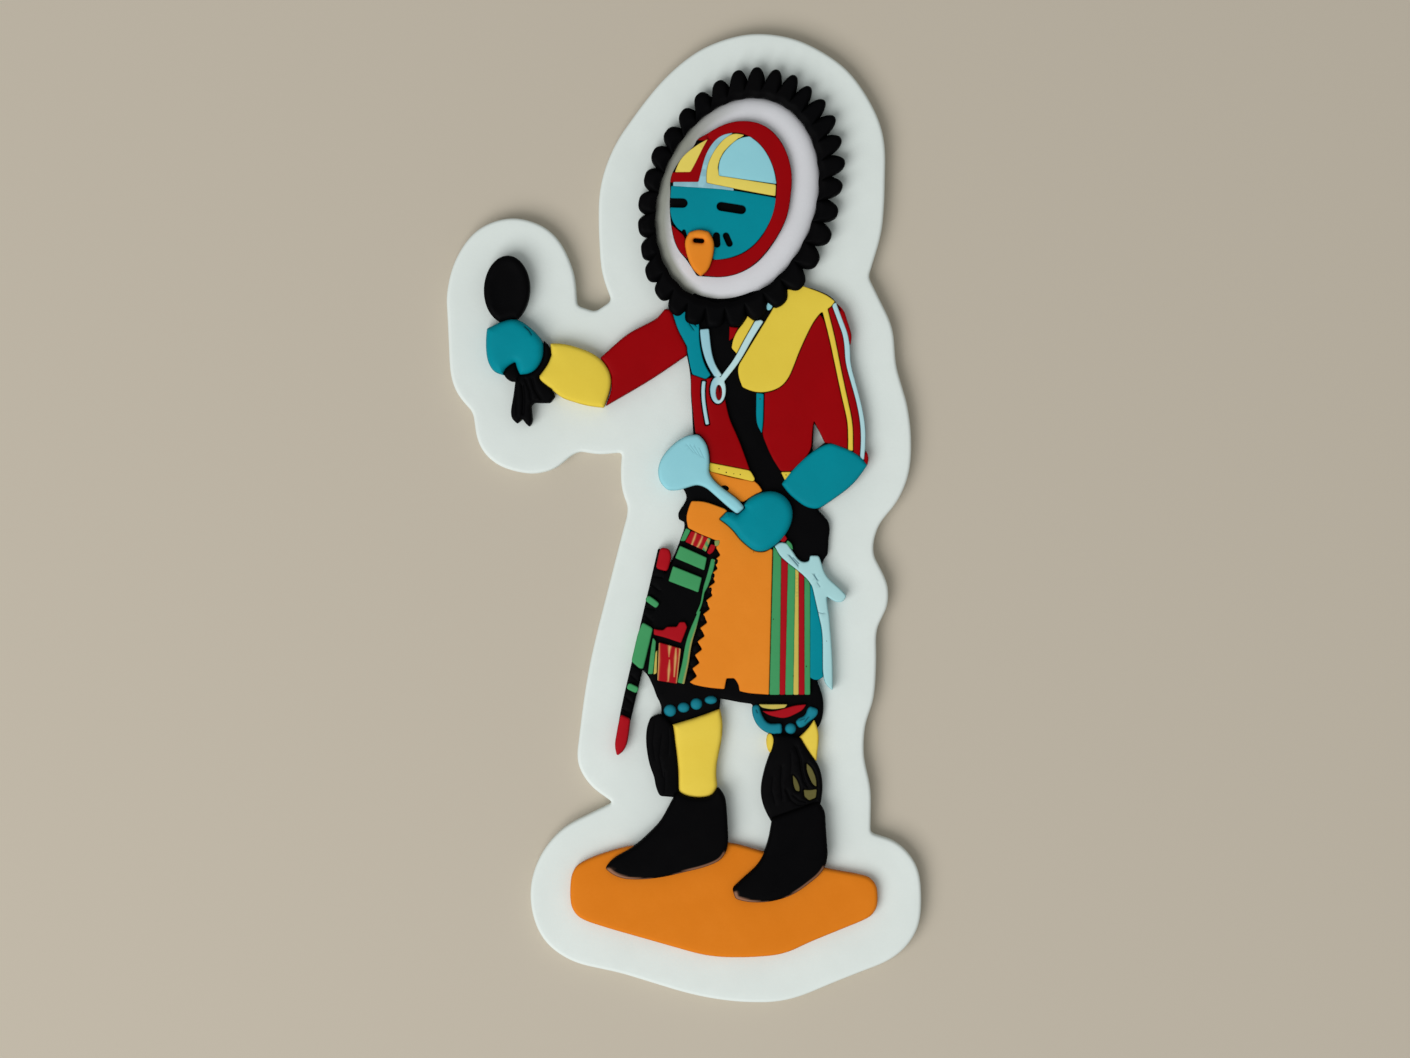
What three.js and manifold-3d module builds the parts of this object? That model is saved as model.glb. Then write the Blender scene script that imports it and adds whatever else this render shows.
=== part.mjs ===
// A souvenir doll moulded flat in soft PVC: a masked dancer in coloured relief on a white backing.
// Lengths are in millimetres. X is to the right, Y to the head, Z out of the relief, 0 the flat back.
import * as THREE from "three";
import { mergeVertices } from "three/addons/utils/BufferGeometryUtils.js";
import Module from "manifold-3d";

const wasm = await Module();
wasm.setup();

// Levels above the flat back
const BACKING_TOP = 2.0;
const DISC_TOP = 3.0;
const BLACK_TOP = 2.9;
const INLAY_FLOOR = 3.15;
const BASE_TOP = 3.2;
const FACE_GROUND_TOP = 3.4;
const COLOUR_TOP = 3.45;
const LIMB_TOP = 3.7;
const FACE_TOP = 3.9;
const RUFF_TOP = 4.0;
const FRONT_TOP = 4.1;
const BEAK_TOP = 4.5;

// Gap between two pours, chamfer on their upper edges, and the length of a chord on a curve
const SEAM = 0.12;
const EDGE = 0.22;
const BACKING_EDGE = 0.3;
const CHORD = 1.1;
const FLAT_ENOUGH = 0.025;
const MITRE = 2; // how far a sharp corner may stand out, in seams

// The ruff and the head inside it: tilted ovals
const HEAD_TILT = THREE.MathUtils.degToRad(-21);
const RUFF_CENTRE = [5.7, 31.95];
const RUFF_HALF = [8.85, 12.5];
const SCALLOPS = 31;
const SCALLOP_DEPTH = 0.95;
const FIRST_SCALLOP = THREE.MathUtils.degToRad(108.75);
// The scallops drift from even steps round the ring
const DRIFT_ONCE = THREE.MathUtils.degToRad(-4.4);
const DRIFT_TWICE = THREE.MathUtils.degToRad(1.4);
const SCALLOP_STEPS = 4;
const DISC_CENTRE = [5.3, 31.8];
const DISC_HALF = [7.8, 10.55];
const DISC_STEPS = 44;

// The kilt's striped side, from the front panel outwards: widths at the waist and at the hem
const STRIPES = [
  { name: "kilt_stripe_green_inner", paint: "green", waist: 0.81, hem: 1.0 },
  { name: "kilt_stripe_red_inner", paint: "sashRed", waist: 0.67, hem: 0.56 },
  { name: "kilt_stripe_green_middle", paint: "green", waist: 0.74, hem: 0.81 },
  { name: "kilt_stripe_yellow", paint: "yellow", waist: 0.33, hem: 0.53 },
  { name: "kilt_stripe_red_outer", paint: "sashRed", waist: 0.55, hem: 0.6 },
  { name: "kilt_stripe_green_outer", paint: "green", waist: 0.6, hem: 0.55 },
];
const STRIPES_START = { waist: 8.85, hem: 8.5 };
const STRIPES_TOP = -2.95;
const STRIPES_SLOPE = -0.87;
const HEM_LEVEL = -17.6;

// The toothed edge between the sash and the kilt
const TEETH = 10;
const TOOTH = 0.62;
const TEETH_TOP = [3.55, -3.0];
const TEETH_BOTTOM = [0.95, -16.45];

const PAINTS = {
  white: [0xd6ddda, 0.55],
  grey: [0xcdcdd0, 0.6],
  black: [0x0a0a0c, 0.5],
  red: [0x980008, 0.5],
  sashRed: [0xaa141e, 0.5],
  teal: [0x028291, 0.5],
  lightBlue: [0x92ced8, 0.5],
  paleBlue: [0xb9d8dc, 0.5],
  yellow: [0xe0c646, 0.5],
  orange: [0xda8024, 0.5],
  deepOrange: [0xd77819, 0.5],
  green: [0x42965f, 0.5],
};

const doll = new THREE.Group();
const K = 1; // marks a corner in a list of outline points

/** Points of a smooth curve through the given ones, about a chord apart. */
function smooth(points, closed = false) {
  if (points.length < 3) return points.map(([x, y]) => new THREE.Vector2(x, y));
  const through = points.map(([x, y]) => new THREE.Vector3(x, y, 0));
  const curve = new THREE.CatmullRomCurve3(through, closed, "centripetal");
  const steps = Math.max(points.length, Math.round(curve.getLength() / CHORD));
  const found = curve.getSpacedPoints(steps).map((p) => new THREE.Vector2(p.x, p.y));
  if (closed) found.pop();
  return found;
}

/** Leaves out points that lie almost on the line between their neighbours. */
function thinned(points) {
  const kept = [points[0]];
  for (let i = 1; i < points.length; i += 1) {
    const last = kept[kept.length - 1];
    const next = points[(i + 1) % points.length];
    const along = next.clone().sub(last).normalize();
    const off = Math.abs(points[i].clone().sub(last).cross(along));
    if (off > FLAT_ENOUGH) kept.push(points[i]);
  }
  return kept;
}

/** A closed outline: curves between the points marked K, straight where two corners meet. */
function outline(points) {
  const start = points.findIndex((p) => p[2] === K);
  if (start < 0) return thinned(smooth(points, true));
  const turned = [...points.slice(start), ...points.slice(0, start + 1)];
  const found = [];
  let run = [turned[0]];
  for (const point of turned.slice(1)) {
    run.push(point);
    if (point[2] === K) {
      found.push(...smooth(run).slice(0, -1));
      run = [point];
    }
  }
  return thinned(found);
}

/** A closed oval, turned by an angle. */
function oval([x, y], [halfWidth, halfHeight], turn = 0, steps = 16) {
  const curve = new THREE.EllipseCurve(x, y, halfWidth, halfHeight, 0, 2 * Math.PI, false, turn);
  return curve.getPoints(steps).slice(0, -1);
}

/** A band along a smooth path, as wide at each path point as its third number says. */
function band(path) {
  const centre = path.map(([x, y]) => new THREE.Vector3(x, y, 0));
  const curve = new THREE.CatmullRomCurve3(centre, false, "centripetal");
  const steps = Math.max(path.length, Math.round(curve.getLength() / CHORD));
  const left = [];
  const right = [];
  for (let i = 0; i <= steps; i += 1) {
    const t = i / steps;
    const place = curve.getPoint(t);
    const along = curve.getTangent(t);
    const at = t * (path.length - 1);
    const from = Math.min(Math.floor(at), path.length - 2);
    const width = THREE.MathUtils.lerp(path[from][2], path[from + 1][2], at - from);
    const across = new THREE.Vector2(-along.y, along.x).multiplyScalar(width / 2);
    left.push(new THREE.Vector2(place.x, place.y).sub(across));
    right.unshift(new THREE.Vector2(place.x, place.y).add(across));
  }
  return thinned([...left, ...right]);
}

/** A short bar with round ends. */
function bar([x0, y0], [x1, y1], width) {
  const across = Math.atan2(y1 - y0, x1 - x0) + Math.PI / 2;
  const shape = new THREE.Shape();
  shape.absarc(x0, y0, width / 2, across, across + Math.PI);
  shape.absarc(x1, y1, width / 2, across + Math.PI, across + 2 * Math.PI);
  return shape.getPoints(4);
}

/** The solid of a closed geometry. */
function solid(geometry) {
  geometry.deleteAttribute("normal");
  geometry.deleteAttribute("uv");
  const merged = mergeVertices(geometry);
  const vertProperties = merged.attributes.position.array;
  const triVerts = new Uint32Array(merged.index.array);
  return new wasm.Manifold(new wasm.Mesh({ numProp: 3, vertProperties, triVerts }));
}

/** A straight-sided solid on an outline, from one level to another. */
function prism(points, low, high) {
  const shape = new THREE.Shape(points);
  const geometry = new THREE.ExtrudeGeometry(shape, { depth: high - low, bevelEnabled: false });
  return solid(geometry.translate(0, 0, low));
}

/** The points of an outline, each moved outwards so that the sides stand off by some distance. */
function widened(points, by) {
  const sign = THREE.ShapeUtils.isClockWise(points) ? by : -by;
  const normal = (from, to) => new THREE.Vector2(from.y - to.y, to.x - from.x).normalize();
  return points.map((point, i) => {
    const before = normal(points.at(i - 1), point);
    const after = normal(point, points[(i + 1) % points.length]);
    const middle = before.clone().add(after).normalize();
    const reach = 1 / Math.max(middle.dot(before), 1 / MITRE);
    return point.clone().addScaledVector(middle, sign * reach);
  });
}

/** A straight-sided solid whose outline stands out by some distance from the points. */
function grown(points, low, high, by) {
  return prism(widened(points, by), low, high);
}

/** A slab on an outline, from one level to another, with a chamfer round its upper edge. */
function slab(points, low, high, edge = EDGE) {
  const sunk = 0.1;
  const geometry = new THREE.ExtrudeGeometry(new THREE.Shape(points), {
    depth: high - edge - low + sunk,
    bevelThickness: edge,
    bevelSize: edge,
    bevelOffset: -edge,
    bevelSegments: 1,
  });
  const block = new THREE.BoxGeometry(100, 120, 20).translate(0, 0, low + 10);
  return solid(geometry.translate(0, 0, low - sunk)).intersect(solid(block));
}

/** The room that a pour takes in its neighbours: its outline and the seam round it. */
function room(points, floor = 0) {
  return grown(points, floor, BEAK_TOP + 1, SEAM);
}

/** The largest of a solid's separate bodies. */
function whole(body) {
  const bodies = body.decompose();
  return bodies.reduce((a, b) => (b.volume() > a.volume() ? b : a));
}

/** Adds a solid, less the room of the pours beside it, to the doll as a named mesh. */
function pour(name, paint, body, ...rooms) {
  const cut = rooms.reduce((left, taken) => left.subtract(taken), body);
  const mesh = whole(cut).getMesh();
  const geometry = new THREE.BufferGeometry();
  geometry.setAttribute("position", new THREE.BufferAttribute(mesh.vertProperties, 3));
  geometry.setIndex(new THREE.BufferAttribute(mesh.triVerts, 1));
  geometry.computeVertexNormals();
  const [color, roughness] = PAINTS[paint];
  const material = new THREE.MeshStandardMaterial({ color, roughness, metalness: 0 });
  const made = new THREE.Mesh(geometry, material);
  made.name = name;
  doll.add(made);
}

// Backing: the white layer that fills the mould last, to an even margin round the figure
const backing = outline([
  [7.3, 48.6], [10.6, 48.2], [13.1, 47.2], [16.3, 45.0], [18.8, 41.5], [20.0, 38.3],
  [20.15, 33.1], [19.8, 28.7], [18.5, 24.2, K], [19.8, 21.6], [20.9, 19.0], [21.3, 15.2],
  [22.4, 11.3], [22.8, 7.5], [22.5, 4.3], [21.4, 1.7], [19.5, -0.8], [18.95, -3.4],
  [19.5, -4.7], [20.4, -6.6], [20.4, -8.8], [19.35, -11.1], [19.3, -14.3], [19.0, -18.2],
  [18.2, -20.7], [18.05, -23.9], [18.7, -27.1], [18.7, -31.6, K], [21.4, -32.6], [23.3, -34.8],
  [23.8, -38.0], [23.4, -41.2], [21.4, -43.8], [15.6, -46.35], [10.5, -48.3], [6.65, -48.6],
  [1.5, -47.95], [-6.2, -45.7], [-11.3, -44.4], [-13.9, -42.5], [-15.15, -39.9], [-15.35, -36.7],
  [-14.2, -33.5], [-11.95, -31.0], [-9.4, -29.7], [-7.1, -28.55, K], [-9.4, -26.8], [-10.65, -24.6],
  [-10.55, -22.0], [-9.4, -14.3], [-7.45, -6.6], [-5.85, -0.2], [-5.55, 0.8], [-6.2, 2.7],
  [-6.35, 4.9], [-6.2, 6.6, K], [-8.8, 6.4], [-10.7, 6.7], [-12.1, 5.6], [-13.15, 4.9],
  [-15.05, 4.45], [-16.95, 4.7], [-18.7, 5.35], [-20.1, 6.6], [-20.8, 8.1], [-21.0, 9.5],
  [-21.2, 10.65, K], [-22.5, 12.1], [-23.2, 13.5], [-23.5, 15.2], [-23.7, 19.6], [-23.8, 22.5],
  [-22.84, 26.1], [-20.6, 29.0], [-17.3, 30.1], [-14.2, 29.3], [-12.45, 27.7], [-11.07, 24.6],
  [-10.8, 22.3], [-10.73, 21.3, K], [-8.9, 20.7, K], [-7.27, 21.8, K], [-8.13, 24.2], [-8.5, 27.3],
  [-8.4, 33.1], [-7.13, 37.0], [-4.9, 40.5], [-1.7, 44.35], [1.5, 46.9], [4.7, 48.2],
]);
pour("backing", "white", slab(backing, 0, BACKING_TOP, BACKING_EDGE));

// Black ground: one black pour behind the coloured body; it shows as strap, belt, sash, staff, hem and knees
const bodyBlack = outline([
  [-1.9, 20.3, K], [-1.25, 20.75, K], [0.3, 21.5, K], [1.0, 22.8, K], [9.5, 22.9, K], [12.2, 23.1, K],
  [12.75, 23.0, K], [14.4, 22.35], [15.15, 21.75, K], [15.72, 20.2], [16.37, 18.35], [16.62, 16.8],
  [16.65, 15.6], [17.02, 14.0], [17.72, 11.5], [18.1, 9.5], [18.18, 7.8], [18.0, 5.95, K],
  [18.3, 5.25, K], [17.5, 4.1], [16.6, 3.1], [15.5, 2.3], [14.1, 1.3], [13.35, 0.85, K],
  [13.8, 0.4], [14.44, -0.31], [14.6, -1.0], [14.44, -2.2], [14.37, -3.66, K], [14.1, -3.95, K],
  [13.2, -6.0, K], [13.7, -8.0], [14.0, -9.8], [14.25, -11.5], [14.4, -15.7, K], [13.9, -15.9, K],
  [13.3, -16.3, K], [13.6, -17.0], [13.85, -17.8], [13.96, -18.9], [13.85, -20.0], [13.5, -20.9, K],
  [11.7, -22.3, K], [9.1, -22.1, K], [7.6, -20.4], [6.8, -18.6, K], [5.6, -18.45], [3.6, -18.05, K],
  [3.6, -18.8], [3.3, -19.7, K], [1.3, -20.3], [-0.9, -21.0, K], [-1.9, -20.4, K], [-2.4, -19.6],
  [-2.25, -19.2], [-2.2, -18.8], [-2.7, -17.95], [-2.9, -17.3], [-3.55, -15.8, K], [-4.3, -15.0, K],
  [-3.8, -12.0, K], [-2.2, -6.0, K], [-1.0, -3.9, K], [-0.45, -2.35, K], [0.05, -1.05, K], [0.05, -0.4, K],
  [-0.4, -0.25], [-0.64, 0.24], [-0.5, 0.65], [0.2, 1.7], [0.3, 2.26], [-0.2, 3.1, K],
  [1.3, 6.5, K], [0.95, 8.0, K], [0.8, 11.0], [0.68, 12.5], [0.68, 14.35, K], [0.5, 15.2],
  [0.3, 16.3, K], [-0.3, 16.5, K], [-1.0, 18.0, K],
]);
const staffBlack = band([
  [-2.05, -3.2, 1.1], [-2.7, -6.2, 1.35], [-3.4, -9.2, 1.35], [-4.1, -12.2, 1.3], [-4.7, -14.7, 1.2],
  [-5.4, -17.7, 1.15], [-6.1, -21.0, 1.1], [-6.5, -23.2, 0.7],
]);
const armpit = outline([[12.85, 6.6, K], [14.2, 7.6, K], [13.0, 9.6, K]]);
const blackGround = prism(bodyBlack, BACKING_TOP, BLACK_TOP)
  .add(prism(staffBlack, BACKING_TOP, BLACK_TOP))
  .subtract(prism(armpit, 0, BEAK_TOP));
pour("black_ground", "black", blackGround);

/** A slab that stands on the backing and lies over the edge of the black ground. */
function onBacking(points, top = COLOUR_TOP) {
  return slab(points, BACKING_TOP, top).subtract(grown(bodyBlack, 0, BLACK_TOP, SEAM));
}

// Ruff: a ring of black feather tips round the head, and the pale disc of the head inside it
function scalloped([x, y], [halfWidth, halfHeight], turn) {
  const points = [];
  const steps = SCALLOPS * SCALLOP_STEPS;
  for (let i = 0; i < steps; i += 1) {
    const even = (2 * Math.PI * i) / steps;
    const drift = DRIFT_ONCE * Math.sin(even) + DRIFT_TWICE * Math.sin(2 * even);
    const angle = even + FIRST_SCALLOP + drift;
    const lobe = SCALLOP_DEPTH * Math.abs(Math.cos((Math.PI * i) / SCALLOP_STEPS)) ** 0.6;
    const across = Math.cos(angle) * (halfWidth + lobe);
    const up = Math.sin(angle) * (halfHeight + lobe);
    points.push(new THREE.Vector2(across, up).rotateAround(new THREE.Vector2(), turn).add({ x, y }));
  }
  return points;
}

const ruff = scalloped(RUFF_CENTRE, RUFF_HALF, HEAD_TILT);
const disc = oval(DISC_CENTRE, DISC_HALF, HEAD_TILT, DISC_STEPS);
const ruffRoom = room(ruff);
pour("feather_ruff", "black", onBacking(ruff, RUFF_TOP), grown(disc, 0, BEAK_TOP, SEAM / 2));
pour("head_disc", "grey", prism(disc, BACKING_TOP, DISC_TOP), grown(bodyBlack, 0, BLACK_TOP, SEAM));

// Face: a red border, brow, mask and beak on a black pour that shows in the eyes and marks
const faceBorder = outline([
  [1.4, 37.8, K], [2.5, 38.4], [3.9, 39.2], [5.9, 39.6], [7.9, 39.2], [9.3, 38.0],
  [10.3, 36.2], [10.7, 34.2], [10.6, 32.4], [10.2, 30.1], [9.0, 27.8], [7.2, 25.6],
  [5.4, 24.5], [3.6, 24.15], [1.4, 24.4, K], [1.4, 25.7, K], [3.0, 25.7], [4.3, 25.8],
  [5.65, 26.2], [6.9, 27.0], [8.05, 28.35], [8.75, 29.8], [9.15, 31.2], [9.35, 33.4],
  [9.1, 34.8], [8.35, 36.5], [7.3, 37.75], [6.2, 38.4], [4.9, 38.6], [4.0, 38.4],
  [3.15, 37.85], [2.45, 36.95], [1.95, 35.8], [1.65, 34.5], [1.4, 33.6, K], [-1.3, 33.6, K],
  [-1.1, 34.45, K], [0.7, 34.5, K], [1.1, 35.2], [1.9, 36.85], [2.4, 37.75, K],
]);
const cheekRed = outline([
  [-1.2, 29.2, K], [-0.1, 28.2, K], [0.25, 27.2], [0.3, 26.0, K], [-0.4, 26.7], [-0.9, 27.8],
]);
const browYellow = outline([
  [2.35, 37.8, K], [1.0, 36.95], [-0.1, 36.0], [-0.7, 35.0], [-0.8, 34.6, K], [0.6, 34.6, K],
  [1.0, 35.3], [1.8, 36.95],
]);
const browLine = outline([
  [4.8, 38.45, K], [4.1, 38.3], [3.2, 37.75], [2.6, 36.95], [2.1, 35.9], [1.8, 34.6],
  [1.5, 33.5, K], [-1.0, 33.5, K], [-1.0, 33.2, K], [4.9, 32.75, K], [4.9, 33.0, K],
  [2.25, 33.4, K], [2.25, 34.8], [2.5, 35.8], [3.1, 36.9], [3.9, 37.8],
]);
const browBand = outline([
  [4.95, 38.4, K], [6.0, 38.25, K], [5.1, 37.7], [4.3, 37.0], [3.7, 36.2], [3.35, 35.1],
  [3.5, 34.15, K], [5.0, 33.9], [9.15, 33.25, K], [9.1, 32.2, K], [6.8, 32.6], [4.9, 33.0],
  [2.3, 33.5, K], [2.3, 34.8], [2.6, 35.8], [3.3, 37.0], [4.1, 37.9],
]);
const browPanel = outline([
  [6.3, 38.1], [7.2, 37.6], [8.2, 36.4], [8.9, 34.8], [9.15, 33.45, K], [3.55, 34.25, K],
  [3.5, 35.2], [3.85, 36.2], [4.5, 37.0], [5.3, 37.75],
]);
const mask = outline([
  [-1.2, 33.1, K], [1.5, 32.95], [4.9, 32.65], [9.1, 31.9, K], [8.95, 30.8], [8.55, 29.7],
  [7.9, 28.5], [6.8, 27.2], [5.55, 26.4], [4.1, 25.95], [3.1, 25.85, K], [1.4, 27.0, K],
  [0.2, 28.5, K], [-0.5, 28.9], [-1.0, 29.5], [-1.3, 30.5], [-1.35, 31.5],
]);
const beak = outline([
  [1.5, 28.76], [2.3, 28.6], [2.85, 28.0], [2.97, 27.1], [2.77, 25.8], [2.3, 24.6],
  [1.85, 24.2], [1.3, 24.35], [0.7, 25.3], [0.25, 26.6], [0.13, 27.8], [0.6, 28.5],
]);
const eyesAndMarks = [
  bar([3.7, 31.12], [5.75, 30.8], 1.05),
  bar([-1.8, 31.5], [-0.1, 31.45], 1.1),
  bar([3.25, 28.2], [3.3, 27.35], 0.85),
  bar([4.2, 28.2], [4.55, 27.4], 0.8),
  bar([0.0, 28.65], [0.1, 28.3], 0.5),
];
const faceGround = outline([
  [1.3, 37.9, K], [2.5, 38.5], [3.9, 39.3], [5.9, 39.7], [7.95, 39.3], [9.4, 38.1],
  [10.4, 36.2], [10.8, 34.2], [10.7, 32.4], [10.3, 30.1], [9.1, 27.7], [7.3, 25.5],
  [5.4, 24.4], [3.6, 24.05], [1.3, 24.2, K], [0.6, 25.25], [0.2, 25.9, K], [-0.5, 26.65],
  [-1.0, 27.75], [-1.3, 29.3], [-1.42, 30.5], [-1.45, 31.5], [-1.35, 33.0], [-1.42, 33.6, K],
  [-1.2, 34.5, K], [-0.85, 35.1], [-0.2, 36.1], [0.9, 37.0],
]);
const beakRoom = room(beak);
const facePour = (name, paint, points, ...rooms) =>
  pour(name, paint, slab(points, FACE_GROUND_TOP, FACE_TOP, SEAM), ...rooms);
pour("face_ground", "black", prism(faceGround, DISC_TOP, FACE_GROUND_TOP));
facePour("face_border", "red", faceBorder, beakRoom, room(mask), room(browYellow));
facePour("cheek_red", "red", cheekRed, beakRoom, room(mask));
facePour("brow_yellow", "yellow", browYellow);
facePour("brow_line", "paleBlue", browLine, room(browBand), room(mask));
facePour("brow_band", "yellow", browBand, room(browPanel));
facePour("brow_panel", "lightBlue", browPanel);
facePour("mask", "teal", mask, beakRoom, ...eyesAndMarks.map((p) => prism(p, 0, BEAK_TOP)));
const nostril = prism(bar([1.15, 27.7], [1.8, 27.65], 0.6), BEAK_TOP - 0.6, BEAK_TOP + 1);
pour("beak", "orange", slab(beak, FACE_GROUND_TOP, BEAK_TOP).subtract(nostril));

// Raised arm: sleeve, forearm and hand, a black rattle, and the black tie that hangs from the wrist
const raisedSleeve = outline([
  [-8.3, 16.0, K], [-7.1, 17.1], [-5.4, 18.5], [-3.6, 19.4], [-2.4, 20.1], [-1.9, 20.85, K],
  [-1.3, 20.8, K], [-0.7, 18.9], [0.26, 17.1, K], [0.26, 16.35, K], [-3.6, 13.7], [-7.8, 11.25, K],
  [-7.3, 12.4], [-7.2, 13.8], [-7.6, 15.0],
]);
const forearm = outline([
  [-13.3, 17.4, K], [-12.3, 17.4], [-10.5, 16.95], [-8.8, 16.2], [-7.8, 15.2], [-7.35, 14.2],
  [-7.4, 13.0], [-8.05, 11.1, K], [-9.7, 11.3], [-11.4, 11.8], [-12.5, 12.2], [-13.3, 13.0],
  [-14.67, 14.0, K], [-13.5, 15.5], [-13.2, 16.6],
]);
const raisedHand = outline([
  [-19.64, 18.9, K], [-18.0, 19.7, K], [-17.5, 20.0], [-16.4, 19.7], [-15.4, 19.0], [-14.4, 18.0],
  [-13.95, 17.1], [-14.0, 16.3], [-14.55, 15.0], [-15.2, 14.45], [-16.6, 14.3], [-18.7, 14.45],
  [-19.4, 15.2], [-19.7, 16.4], [-19.75, 17.8],
]);
const wristTie = outline([
  [-14.0, 17.7, K], [-13.6, 17.4], [-13.3, 16.5], [-13.6, 15.5], [-14.55, 14.2, K], [-14.5, 13.85, K],
  [-14.0, 13.3], [-13.2, 12.8], [-12.95, 12.0], [-13.3, 11.6], [-15.0, 11.6, K], [-15.3, 11.3],
  [-15.3, 10.7], [-15.2, 9.5], [-15.5, 9.2], [-15.8, 9.5], [-16.13, 10.0, K], [-16.4, 9.7],
  [-16.8, 9.5], [-17.2, 10.0], [-17.25, 10.9], [-17.0, 12.1], [-16.8, 13.7, K], [-17.3, 13.7],
  [-17.75, 14.0], [-18.0, 14.6], [-17.5, 15.15], [-16.9, 15.5, K], [-16.7, 14.8], [-16.4, 14.25, K],
  [-15.25, 14.4], [-14.5, 15.1], [-13.95, 16.3], [-13.97, 17.0],
]);
const rattle = oval([-17.7, 22.85], [2.25, 3.33], THREE.MathUtils.degToRad(-3), 24);
const wristRoom = room(wristTie);
pour("raised_sleeve", "red", onBacking(raisedSleeve), room(forearm), ruffRoom);
pour("raised_forearm", "yellow", slab(forearm, BACKING_TOP, LIMB_TOP), wristRoom);
pour("raised_hand", "teal", slab(raisedHand, BACKING_TOP, FRONT_TOP), wristRoom);
pour("rattle", "black", slab(rattle, BACKING_TOP, FRONT_TOP), room(raisedHand));
pour("wrist_tie", "black", slab(wristTie, BACKING_TOP, LIMB_TOP));

// Outlines from the neck to the waist
const collar = outline([
  [-1.15, 20.6, K], [0.6, 21.3, K], [1.35, 20.2, K], [1.45, 19.4], [1.46, 17.9], [1.65, 16.6],
  [2.0, 15.3], [2.6, 14.3, K], [2.17, 13.95, K], [0.9, 14.4, K], [0.7, 15.1], [0.4, 16.6],
  [0.2, 17.5], [-0.35, 18.3], [-0.9, 19.4],
]);
const necklaceLeft = band([
  [2.05, 18.9, 0.9], [2.15, 17.8, 0.95], [2.35, 16.5, 0.85], [2.75, 15.3, 0.7], [3.5, 14.1, 0.7],
]);
const necklaceRight = band([[7.63, 19.85, 0.75], [6.5, 18.0, 0.65], [5.3, 15.8, 0.6], [3.7, 13.7, 0.55]]);
const pendant = oval([3.4, 12.8], [0.8, 1.4]);
const pendantHole = oval([3.5, 12.55], [0.33, 0.8], 0, 10);
const chestLine = band([[2.0, 13.7, 0.37], [1.9, 12.5, 0.37], [2.05, 11.0, 0.37], [2.35, 9.35, 0.37]]);
const shirtLeft = outline([
  [0.74, 14.35, K], [2.17, 13.9, K], [3.2, 14.1, K], [4.15, 13.8, K], [4.1, 11.8, K], [4.5, 10.0],
  [5.6, 7.5], [6.6, 4.7, K], [2.5, 5.5, K], [1.6, 7.4, K], [1.15, 8.6, K], [0.87, 11.0], [0.74, 12.5],
]);
const neckYellow = outline([
  [6.6, 20.8, K], [7.26, 20.1, K], [5.3, 16.5, K], [4.9, 16.6], [4.9, 17.6], [5.56, 19.0], [6.15, 19.6],
]);
const neckRed = outline([[4.6, 19.9, K], [5.4, 19.1, K], [4.97, 18.1, K], [4.55, 17.8, K]]);
const yoke = outline([
  [8.8, 20.7, K], [9.8, 22.8, K], [11.8, 23.2, K], [12.7, 22.9], [14.35, 22.2], [15.06, 21.65, K],
  [14.8, 21.25], [13.6, 20.5, K], [12.9, 19.6], [12.2, 18.2], [11.46, 16.6], [10.87, 15.0],
  [10.4, 13.95], [10.0, 13.4], [9.25, 12.9], [8.2, 12.6], [7.3, 12.6], [6.3, 12.85],
  [5.8, 13.2], [5.5, 14.1], [5.4, 15.1, K], [7.05, 17.9],
]);
const yokeStripe = band([
  [14.05, 21.0, 0.5], [14.35, 19.8, 0.5], [14.85, 17.9, 0.5], [15.3, 15.7, 0.45], [15.75, 13.4, 0.45],
  [16.25, 11.3, 0.45], [16.6, 9.5, 0.42], [16.67, 8.1, 0.42], [16.65, 6.75, 0.45],
]);
const chestTab = outline([
  [7.26, 12.5, K], [7.96, 12.4, K], [7.9, 9.5], [7.77, 8.5, K], [7.5, 8.65], [7.26, 9.7],
]);
const shirtRight = outline([
  [5.95, 12.9, K], [10.0, 15.2, K], [12.3, 19.2, K], [13.4, 20.6, K], [13.95, 19.85], [14.55, 17.9],
  [15.07, 15.7], [15.5, 13.4], [16.0, 11.3], [16.4, 9.5], [16.47, 8.1], [16.4, 6.9, K],
  [15.3, 7.3], [14.26, 7.54, K], [14.1, 7.54, K], [13.0, 9.75, K], [12.8, 8.65], [12.7, 6.7, K],
  [12.05, 6.0], [11.16, 5.1], [10.7, 4.7, K], [9.7, 4.7, K], [8.8, 6.1], [7.9, 8.2], [7.3, 9.8],
]);
const hemLeft = outline([[2.47, 5.5, K], [6.6, 4.7, K], [7.04, 3.9, K], [6.9, 3.7, K], [2.4, 4.75, K]]);
const sleeveOuter = outline([
  [14.2, 21.1, K], [14.8, 21.35, K], [15.3, 20.3], [15.9, 18.7], [16.1, 16.9], [16.1, 15.7],
  [16.6, 13.95], [17.36, 11.45], [17.65, 9.5], [17.7, 8.1], [17.65, 6.15, K], [16.95, 6.45, K],
  [16.93, 8.1], [16.85, 9.5], [16.5, 11.3], [16.03, 13.4], [15.53, 15.7], [15.18, 17.9], [14.6, 19.85],
]);
const sleevePiping = band([
  [15.0, 21.4, 0.35], [15.5, 20.1, 0.38], [16.15, 18.3, 0.38], [16.35, 16.8, 0.4], [16.4, 15.6, 0.36],
  [16.8, 13.95, 0.3], [17.5, 11.45, 0.3], [17.85, 9.5, 0.34], [17.93, 7.8, 0.34], [17.8, 5.9, 0.3],
]);
const sleeveTrim = outline([
  [15.3, 21.4, K], [15.9, 20.8], [16.3, 19.6], [16.74, 18.1], [16.66, 17.35, K], [16.45, 17.5],
  [16.1, 18.7], [15.6, 20.3],
]);
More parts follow.
